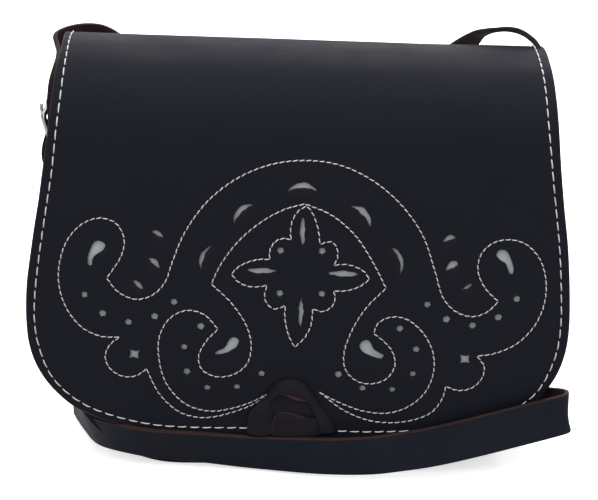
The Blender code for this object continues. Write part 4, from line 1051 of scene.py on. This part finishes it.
# Strap: its two fixed ends (distance from the gusset, height), and the route between them as places and
# the directions that its grain side faces
LEFT_LEG = [(7.4, 134), (7.4, 140), (7.4, 146), (7.4, 154), (9.65, 160.5), (10.4, 165), (9.9, 170),
            (8.2, 176), (6.9, 182), (6.5, 187), (6.8, 191), (7, 194.6), (6, 198.2)]
RIGHT_LEG = [(5, 188.6), (2.6, 181.5), (1.4, 172.5), (1.4, 159), (1.4, 140)]
ROUTE = [(-128.6, 2.6, 201.4, -1, 0.02, 0.06), (-127.5, 8, 203.5, -1, 0, 0),
         (-127.1, 14, 205.6, -0.99, -0.05, -0.08), (-127.6, 19.8, 207.6, -0.97, -0.12, -0.14),
         (-128.7, 25, 209.6, -0.95, -0.02, -0.18), (-128.2, 30.2, 211.6, -0.86, 0.4, -0.12),
         (-124.6, 34.2, 213, -0.66, 0.74, 0.02), (-120, 37.2, 213.8, -0.42, 0.88, 0.12),
         (-115.2, 40, 213.7, -0.24, 0.96, 0.14), (-110.2, 42.6, 212.4, -0.1, 0.98, 0.1),
         (-104.2, 44, 208.4, 0, 1, 0.03), (-95, 44.2, 199.8, 0, 1, 0), (-80, 43, 184.5, 0, 1, 0),
         (-50, 41.3, 153, 0, 1, 0), (-15, 39.5, 120, 0, 1, 0), (20, 38.5, 90.5, 0, 1, 0),
         (60, 38.5, 60, 0, 1, 0), (92, 39, 40.5, 0, 1, 0), (110, 38.6, 31.5, 0.15, 0.98, 0),
         (119.5, 34, 27.6, 0.6, 0.8, 0), (124.6, 24, 25.6, 0.95, 0.3, 0), (126.6, 10, 25.4, 0.99, 0.1, 0),
         (128.2, -6, 27.4, 0.98, 0.18, 0), (130.6, -20, 30.6, 0.95, 0.3, 0),
         (134.2, -31.6, 34.4, 0.86, 0.5, 0), (137.9, -38.4, 36.8, 0.87, 0.48, 0),
         (140.3, -42.4, 37.7, 1, 0, 0), (139.1, -46, 37.1, 0.23, -0.97, 0.03),
         (133.9, -46.7, 35.6, 0.1, -0.99, 0.05), (124, -46.7, 32.7, 0.01, -1, 0.07),
         (113.6, -46.7, 29.7, -0.02, -1, 0.07), (103.2, -46.7, 26.6, -0.02, -1, 0.07),
         (90.3, -46.7, 22.9, -0.02, -1, 0.07), (77.6, -46.7, 19.5, -0.01, -1, 0.07),
         (65.1, -47.3, 16.9, 0.03, -1, 0.05), (52.4, -48.5, 15.3, 0.05, -1, 0.02),
         (39.6, -49.6, 13.9, 0, -1, -0.03), (26.6, -49.5, 13.1, -0.09, -0.99, -0.09),
         (13.5, -48.1, 12.4, -0.14, -0.98, -0.14), (0.2, -46.6, 12.2, -0.18, -0.96, -0.19),
         (-15.7, -43.8, 11.8, -0.18, -0.95, -0.26), (-31.2, -41.8, 12, -0.14, -0.94, -0.31),
         (-52.4, -40.4, 13.4, -0.11, -0.92, -0.37), (-65.8, -39.9, 14.2, -0.08, -0.91, -0.41),
         (-79.2, -39.5, 15.1, -0.12, -0.9, -0.42), (-90.4, -38.1, 16.4, -0.26, -0.87, -0.42),
         (-101.2, -33.4, 16.8, -0.49, -0.77, -0.4), (-109.7, -24.3, 15.6, -0.71, -0.6, -0.37),
         (-114.8, -13.7, 14.1, -0.84, -0.44, -0.33), (-119.1, -1.7, 13.9, -0.89, -0.37, -0.26),
         (-123.2, 10.7, 13.4, -0.92, -0.35, -0.21), (-126.9, 22.9, 13, -0.93, -0.33, -0.16),
         (-126.4, 32, 12, -0.95, 0.3, 0), (-122.6, 40.5, 14.6, -0.62, 0.78, 0),
         (-115.5, 44.8, 19.4, -0.25, 0.96, 0), (-105, 46.4, 27, -0.05, 0.99, 0), (-88, 46.8, 41, 0, 1, 0),
         (-50, 48, 75, 0, 1, 0), (-10, 48, 112.5, 0, 1, 0), (30, 47.5, 150, 0, 1, 0),
         (56, 46.5, 175, 0, 1, 0.05), (72.5, 45, 192.5, -0.05, 0.96, 0.3),
         (83.5, 43, 209, -0.3, 0.66, 0.62), (92.5, 41.6, 218.7, -0.42, 0.44, 0.78),
         (98.5, 41, 221.8, -0.34, 0.3, 0.9), (104.6, 40.4, 223.1, -0.14, 0.23, 0.96),
         (110.2, 39.4, 223.5, 0.14, 0.2, 0.97), (115.8, 37.6, 222.7, 0.42, 0.15, 0.9),
         (121, 34.6, 220.2, 0.63, 0.09, 0.77), (125.2, 30.8, 216.3, 0.78, 0.04, 0.62),
         (127.4, 25.4, 211.6, 0.91, -0.03, 0.42), (128.2, 17.6, 205.2, 0.96, -0.04, 0.28),
         (128.9, 10, 199.6, 1, 0, 0.08), (129.6, 3.6, 194.4, 1, 0, 0)]
TURN_Y = Matrix.Rotation(math.radians(90), 4, "Y")


def strap_path():
    """Places along the strap and the direction that its grain side faces at each."""
    points = [np.array((-BODY_HALF - u, 0, z, -1, 0, 0), float) for u, z in LEFT_LEG]
    for row in ROUTE:
        row = np.array(row, float)
        row[3:] /= np.linalg.norm(row[3:])
        points.append(row)
    points += [np.array((BODY_HALF + u, 0, z, 1, 0, 0), float) for u, z in RIGHT_LEG]
    fine = curve(points, 5)
    return [Vector(q[:3]) for q in fine], [Vector(q[3:]).normalized() for q in fine]


def cut_with(target, tools):
    """Subtract closed shapes from a piece and leave a plain mesh."""
    target.modifiers.clear()
    for tool in tools:
        step = target.modifiers.new("cut", "BOOLEAN")
        step.operation = "DIFFERENCE"
        step.solver = "EXACT"
        step.object = tool
    bpy.context.view_layer.update()
    done = bpy.data.meshes.new_from_object(target.evaluated_get(bpy.context.evaluated_depsgraph_get()))
    target.modifiers.clear()
    target.data = done
    weigh(target)
    for tool in tools:
        bpy.data.objects.remove(tool, do_unlink=True)


def peg(x, height, radius, length):
    """Cutting tool for a round hole from side to side."""
    bm = bmesh.new()
    bmesh.ops.create_cone(bm, cap_ends=True, segments=20, radius1=radius * MM, radius2=radius * MM,
                          depth=length * MM)
    made = add("peg", bm, [brown_edge])
    made.matrix_world = Matrix.Translation(Vector((x, 0, height)) * MM) @ TURN_Y
    return made


def brick(low, high):
    """Cutting tool for a slot."""
    bm = bmesh.new()
    bmesh.ops.create_cube(bm, size=1.0)
    for vert in bm.verts:
        vert.co = Vector([(a + b) / 2 + (b - a) * c for a, b, c in zip(low, high, vert.co)]) * MM
    return add("brick", bm, [brown_edge])


places, facings = strap_path()
run = 0.0
narrow = []
for i, q in enumerate(places):
    run += (q - places[max(i - 1, 0)]).length
    narrow.append(max(0.30, math.sqrt(max(0.0, 1 - (1 - min(1.0, run / STRAP_ROUND)) ** 2))))
strap = band("strap_skin", places, facings, STRAP, STRAP_THICK, [strap_black, brown_edge, flesh, dark_edge],
             narrow=narrow, rim=0.6, dyed=lambda i: i < STRAP_DYED[0] or i > len(places) - STRAP_DYED[1])
tools = [brick((-138.5, -SLOT_HALF, 166.5), (-127.6, SLOT_HALF, 185.4)),
         peg(-BODY_HALF - 7.4, 139.0, HOLE, 9), peg(-BODY_HALF - 8.0, 196.5, HOLE, 9)]
cut_with(strap, tools + [peg(BODY_HALF + 1.4, height, RIVET_HOLE, 8) for height in STRAP_RIVETS])
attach(strap, "bag")
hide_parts("shoulder_strap")


def chape_path():
    """Folded tab: up the gusset, round the buckle's bar and down again."""
    bend = WIRE + SEAT + CHAPE_THICK / 2
    line = [(1.2, 106.0), (1.2, 118), (1.2, 132), (1.2, 146), (1.2, 159.6)]
    line += arc(BAR_OUT, BAR_HEIGHT, bend, math.pi, 0, 14)
    line += [(4.95, 157.4), (4.8, 154), (4.8, 148), (4.8, 143)]
    faces = []
    for a, b in zip(line[:1] + line, line[1:] + line[-1:]):
        du, dz = b[0] - a[0], b[1] - a[1]
        size = math.hypot(du, dz)
        faces.append(Vector((dz / size, 0, du / size)))
    return [Vector((-BODY_HALF - u, 0, z)) for u, z in line], faces


chape = band("chape_skin", *chape_path(), STRAP - 0.5, CHAPE_THICK, [strap_black, dark_edge, strap_black])
cut_with(chape, [brick((-BODY_HALF - 8.6, -SLOT_HALF, 161.2), (-BODY_HALF + 1, SLOT_HALF, 172.6))]
         + [peg(-BODY_HALF - 1.2, height, RIVET_HOLE, 6) for height in CHAPE_RIVETS])
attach(chape, "bag")
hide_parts("strap_chape")


def keeper_path():
    """Closed loop round chape and strap, level, with rounded corners."""
    inner, outer, radius, height = 3.0, 9.4, 1.0, 150
    half = STRAP / 2 + SEAT + KEEPER_THICK / 2
    places, faces = [], []
    for u, side, quarter in ((inner + radius, -1, 2), (outer - radius, -1, -1), (outer - radius, 1, 0),
                             (inner + radius, 1, 1)):
        start = quarter * math.pi / 2
        for a, b in arc(0, 0, 1, start, start + math.pi / 2, 4):
            y = side * (half - radius) + radius * b
            places.append(Vector((-BODY_HALF - (u + radius * a), y, height)))
            faces.append(Vector((-a, b, 0)))
    return places, faces


keeper = band("keeper_skin", *keeper_path(), KEEPER, KEEPER_THICK, [strap_black, brown_edge, flesh],
              closed=True)
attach(keeper, "bag")
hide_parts("strap_keeper")


def buckle():
    """Frame that leans out from its bar, and the prong hooked round the bar."""
    length, corner, lean, play, eye_play = 22.0, 1.8, 5.7, 0.9, 0.15
    half = STRAP / 2 + WIRE + play
    points = []
    y, low, high = half - corner, corner, length - corner
    for k, (across, up) in enumerate([(-y, low), (y, low), (y, high), (-y, high)]):
        start = math.pi + k * math.pi / 2
        for a, b in arc(across, up, corner, start, start + math.pi / 2, 6):
            points.append(Vector((-BODY_HALF - BAR_OUT - lean * b / length, a, BAR_HEIGHT + b)))
    ring = tube("buckle_ring", points, WIRE, True, 16)
    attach(ring, "bag")
    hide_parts("buckle_frame")
    hook = WIRE + eye_play + PRONG
    far = lean + WIRE + SEAT + PRONG
    points = [(-a, b) for a, b in arc(0, 0, hook, math.radians(110), math.radians(360), 16)]
    points += [(-hook - (far - hook) * t, length * t + 1.0 * (1 - t)) for t in (0.25, 0.5, 0.75, 0.9)]
    points += [(-far, length), (-far, length + 3.0)]
    pin = tube("buckle_pin", [Vector((-BODY_HALF - BAR_OUT + u, 0, BAR_HEIGHT + v)) for u, v in points],
               PRONG, False, 12)
    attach(pin, "prong")
    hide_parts("buckle_prong")


buckle()


def rivet(name, side, height, seat, node):
    """Capped rivet through the gusset, with a domed head outside and inside."""
    dome = [(0, 1.2), (0.35, 1.12), (0.7, 0.85), (0.93, 0.45), (1, 0.1), (0.97, 0)]
    top, bottom, cap, stem = seat + SEAT, -2.3, 3.6, 1.4
    profile = [(cap * share, bottom - rise) for share, rise in dome] + [(stem, bottom), (stem, top)]
    profile += [(cap * share, top + rise) for share, rise in reversed(dome)]
    turn = Matrix.Rotation(side * math.radians(90), 4, "Y")
    move = Matrix.Translation(Vector((side * BODY_HALF, 0, height)) * MM)
    turned(name, profile, 32, move @ turn, "bag", node)


for place, side, heights, seat in (("chape", -1, CHAPE_RIVETS, 2.1), ("strap", 1, STRAP_RIVETS, 2.5)):
    for k, height in enumerate(heights, 1):
        rivet("%s_cap_%d" % (place, k), side, height, seat, "%s_rivet_%d" % (place, k))


def snap():
    """Magnetic snap: socket with its post, washer inside, and the stud under the knot."""
    low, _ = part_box("snap_stud")
    turn = Matrix.Rotation(math.radians(90), 4, "X")
    proud, washer, play = 2.7, 0.8, 0.5

    def at(depth):
        return Matrix.Translation(Vector((0, depth, SNAP_HEIGHT)) * MM) @ turn

    profile = [(0, -3.6), (2.5, -3.6), (2.5, SEAT), (7.6, SEAT), (8.0, 0.6), (8.0, 2.2), (7.5, proud),
               (3.6, proud), (3.3, 2.5), (3.3, 1.1), (0, 1.1)]
    turned("snap_lower", profile, 40, at(-PANEL_FACE), "bag", "snap_socket")
    profile = [(2.8, 0), (6.7, 0), (7.0, 0.2), (7.0, 0.6), (6.7, washer), (2.8, washer)]
    turned("snap_ring", profile, 40, at(-PANEL_FACE + FRONT_THICK + SEAT + washer), "bag", "snap_washer")
    stud_face = PANEL_FACE + proud + play
    thick = -low.y / MM - stud_face
    profile = [(0, -1.3), (2.0, -1.3), (2.4, -1.0), (2.4, 0), (7.7, 0), (8.0, 0.3), (8.0, thick), (0, thick)]
    turned("snap_upper", profile, 40, at(-stud_face), "flap", "snap_stud")


snap()


# Floor, background, light and camera
def white_or(tree, white, other, out):
    """White for the camera and for what metal mirrors, the other shader for the light that bounces."""
    paths = tree.nodes.new("ShaderNodeLightPath").outputs
    total = paths["Is Camera Ray"]
    for name in ("Is Glossy Ray", "Is Transmission Ray"):
        total = new_node(tree, "ShaderNodeMath", {0: total, 1: paths[name]}, operation="MAXIMUM").outputs[0]
    blend = new_node(tree, "ShaderNodeMixShader", {0: total, 1: other.outputs[0], 2: white.outputs[0]})
    feed(tree, tree.nodes[out], {0: blend.outputs[0]})


bm = bmesh.new()
bmesh.ops.create_grid(bm, x_segments=1, y_segments=1, size=6.0)
floor_look = Nodes("floor_white")
tree = floor_look.tree
tree.nodes.remove(floor_look.shader)
seen = new_node(tree, "ShaderNodeBsdfDiffuse", {"Color": solid((0.95, 0.95, 0.95))})
glow = new_node(tree, "ShaderNodeEmission", {"Color": solid((1, 1, 1)), "Strength": 0.62})
both = new_node(tree, "ShaderNodeAddShader", {0: seen.outputs[0], 1: glow.outputs[0]})
grey = new_node(tree, "ShaderNodeBsdfDiffuse", {"Color": solid((0.30, 0.30, 0.31))})
white_or(tree, both, grey, "Material Output")
floor = add("floor", bm, [floor_look.made], soft=False)
floor.location = (0, 0, -0.0004)

world = bpy.data.worlds.new("white_room")
bpy.context.scene.world = world
world.use_nodes = True
tree = world.node_tree
plain = feed(tree, tree.nodes["Background"], {"Color": solid((0.93, 0.96, 1.0)), "Strength": 0.30})
white = new_node(tree, "ShaderNodeBackground", {"Color": solid((1, 1, 1)), "Strength": 1.0})
white_or(tree, white, plain, "World Output")


# Rectangular lights: place, height of the point that each looks at, size, power and colour
LIGHTS = {"back_window": ((0.0, 1.5, 1.05), 0.18, (2.6, 0.9), 24, (1.0, 0.98, 1.0)),
          "top_box": ((0.0, 0.10, 1.5), 0.1, (1.5, 1.0), 20, (1.0, 0.985, 1.0)),
          "front_top": ((0.0, -0.85, 1.45), 0.1, (1.5, 0.7), 6.5, (0.98, 0.99, 1.0)),
          "front_fill": ((-0.7, -1.7, 0.95), 0.1, (1.2, 1.0), 11, (0.96, 0.98, 1.0)),
          "right_fill": ((1.4, -1.1, 0.8), 0.1, (0.9, 0.9), 6, (0.96, 0.98, 1.0))}
for name, (place, aim, size, power, colour) in LIGHTS.items():
    data = bpy.data.lights.new(name, "AREA")
    data.shape = "RECTANGLE"
    data.size, data.size_y = size
    data.energy = power
    data.color = colour
    made = bpy.data.objects.new(name, data)
    made.location = place
    made.rotation_euler = (Vector((0, 0, aim)) - Vector(place)).to_track_quat("-Z", "Y").to_euler()
    bpy.context.scene.collection.objects.link(made)

azimuth, elevation, roll = math.radians(0.257), math.radians(19.0), math.radians(0.682)
ahead = Vector((math.sin(azimuth) * math.cos(elevation), math.cos(azimuth) * math.cos(elevation),
                -math.sin(elevation)))
right = Vector((math.cos(azimuth), -math.sin(azimuth), 0))
upward = right.cross(ahead)
tilted = right * math.cos(roll) + upward * math.sin(roll)
raised = upward * math.cos(roll) - right * math.sin(roll)
target = Vector((-0.00098, 0, 0.11081))
DISTANCE, SENSOR = 1.0, 36
FOCAL_PIXELS, PICTURE_WIDTH = 1867.2, 598
camera_data = bpy.data.cameras.new("camera")
camera_data.sensor_width = SENSOR
camera_data.lens = FOCAL_PIXELS * SENSOR / PICTURE_WIDTH
camera = bpy.data.objects.new("camera", camera_data)
turn = Matrix((tilted, raised, -ahead)).transposed().to_4x4()
camera.matrix_world = Matrix.Translation(target - ahead * DISTANCE) @ turn
bpy.context.scene.collection.objects.link(camera)
bpy.context.scene.camera = camera
bpy.context.scene.view_settings.view_transform = "Standard"
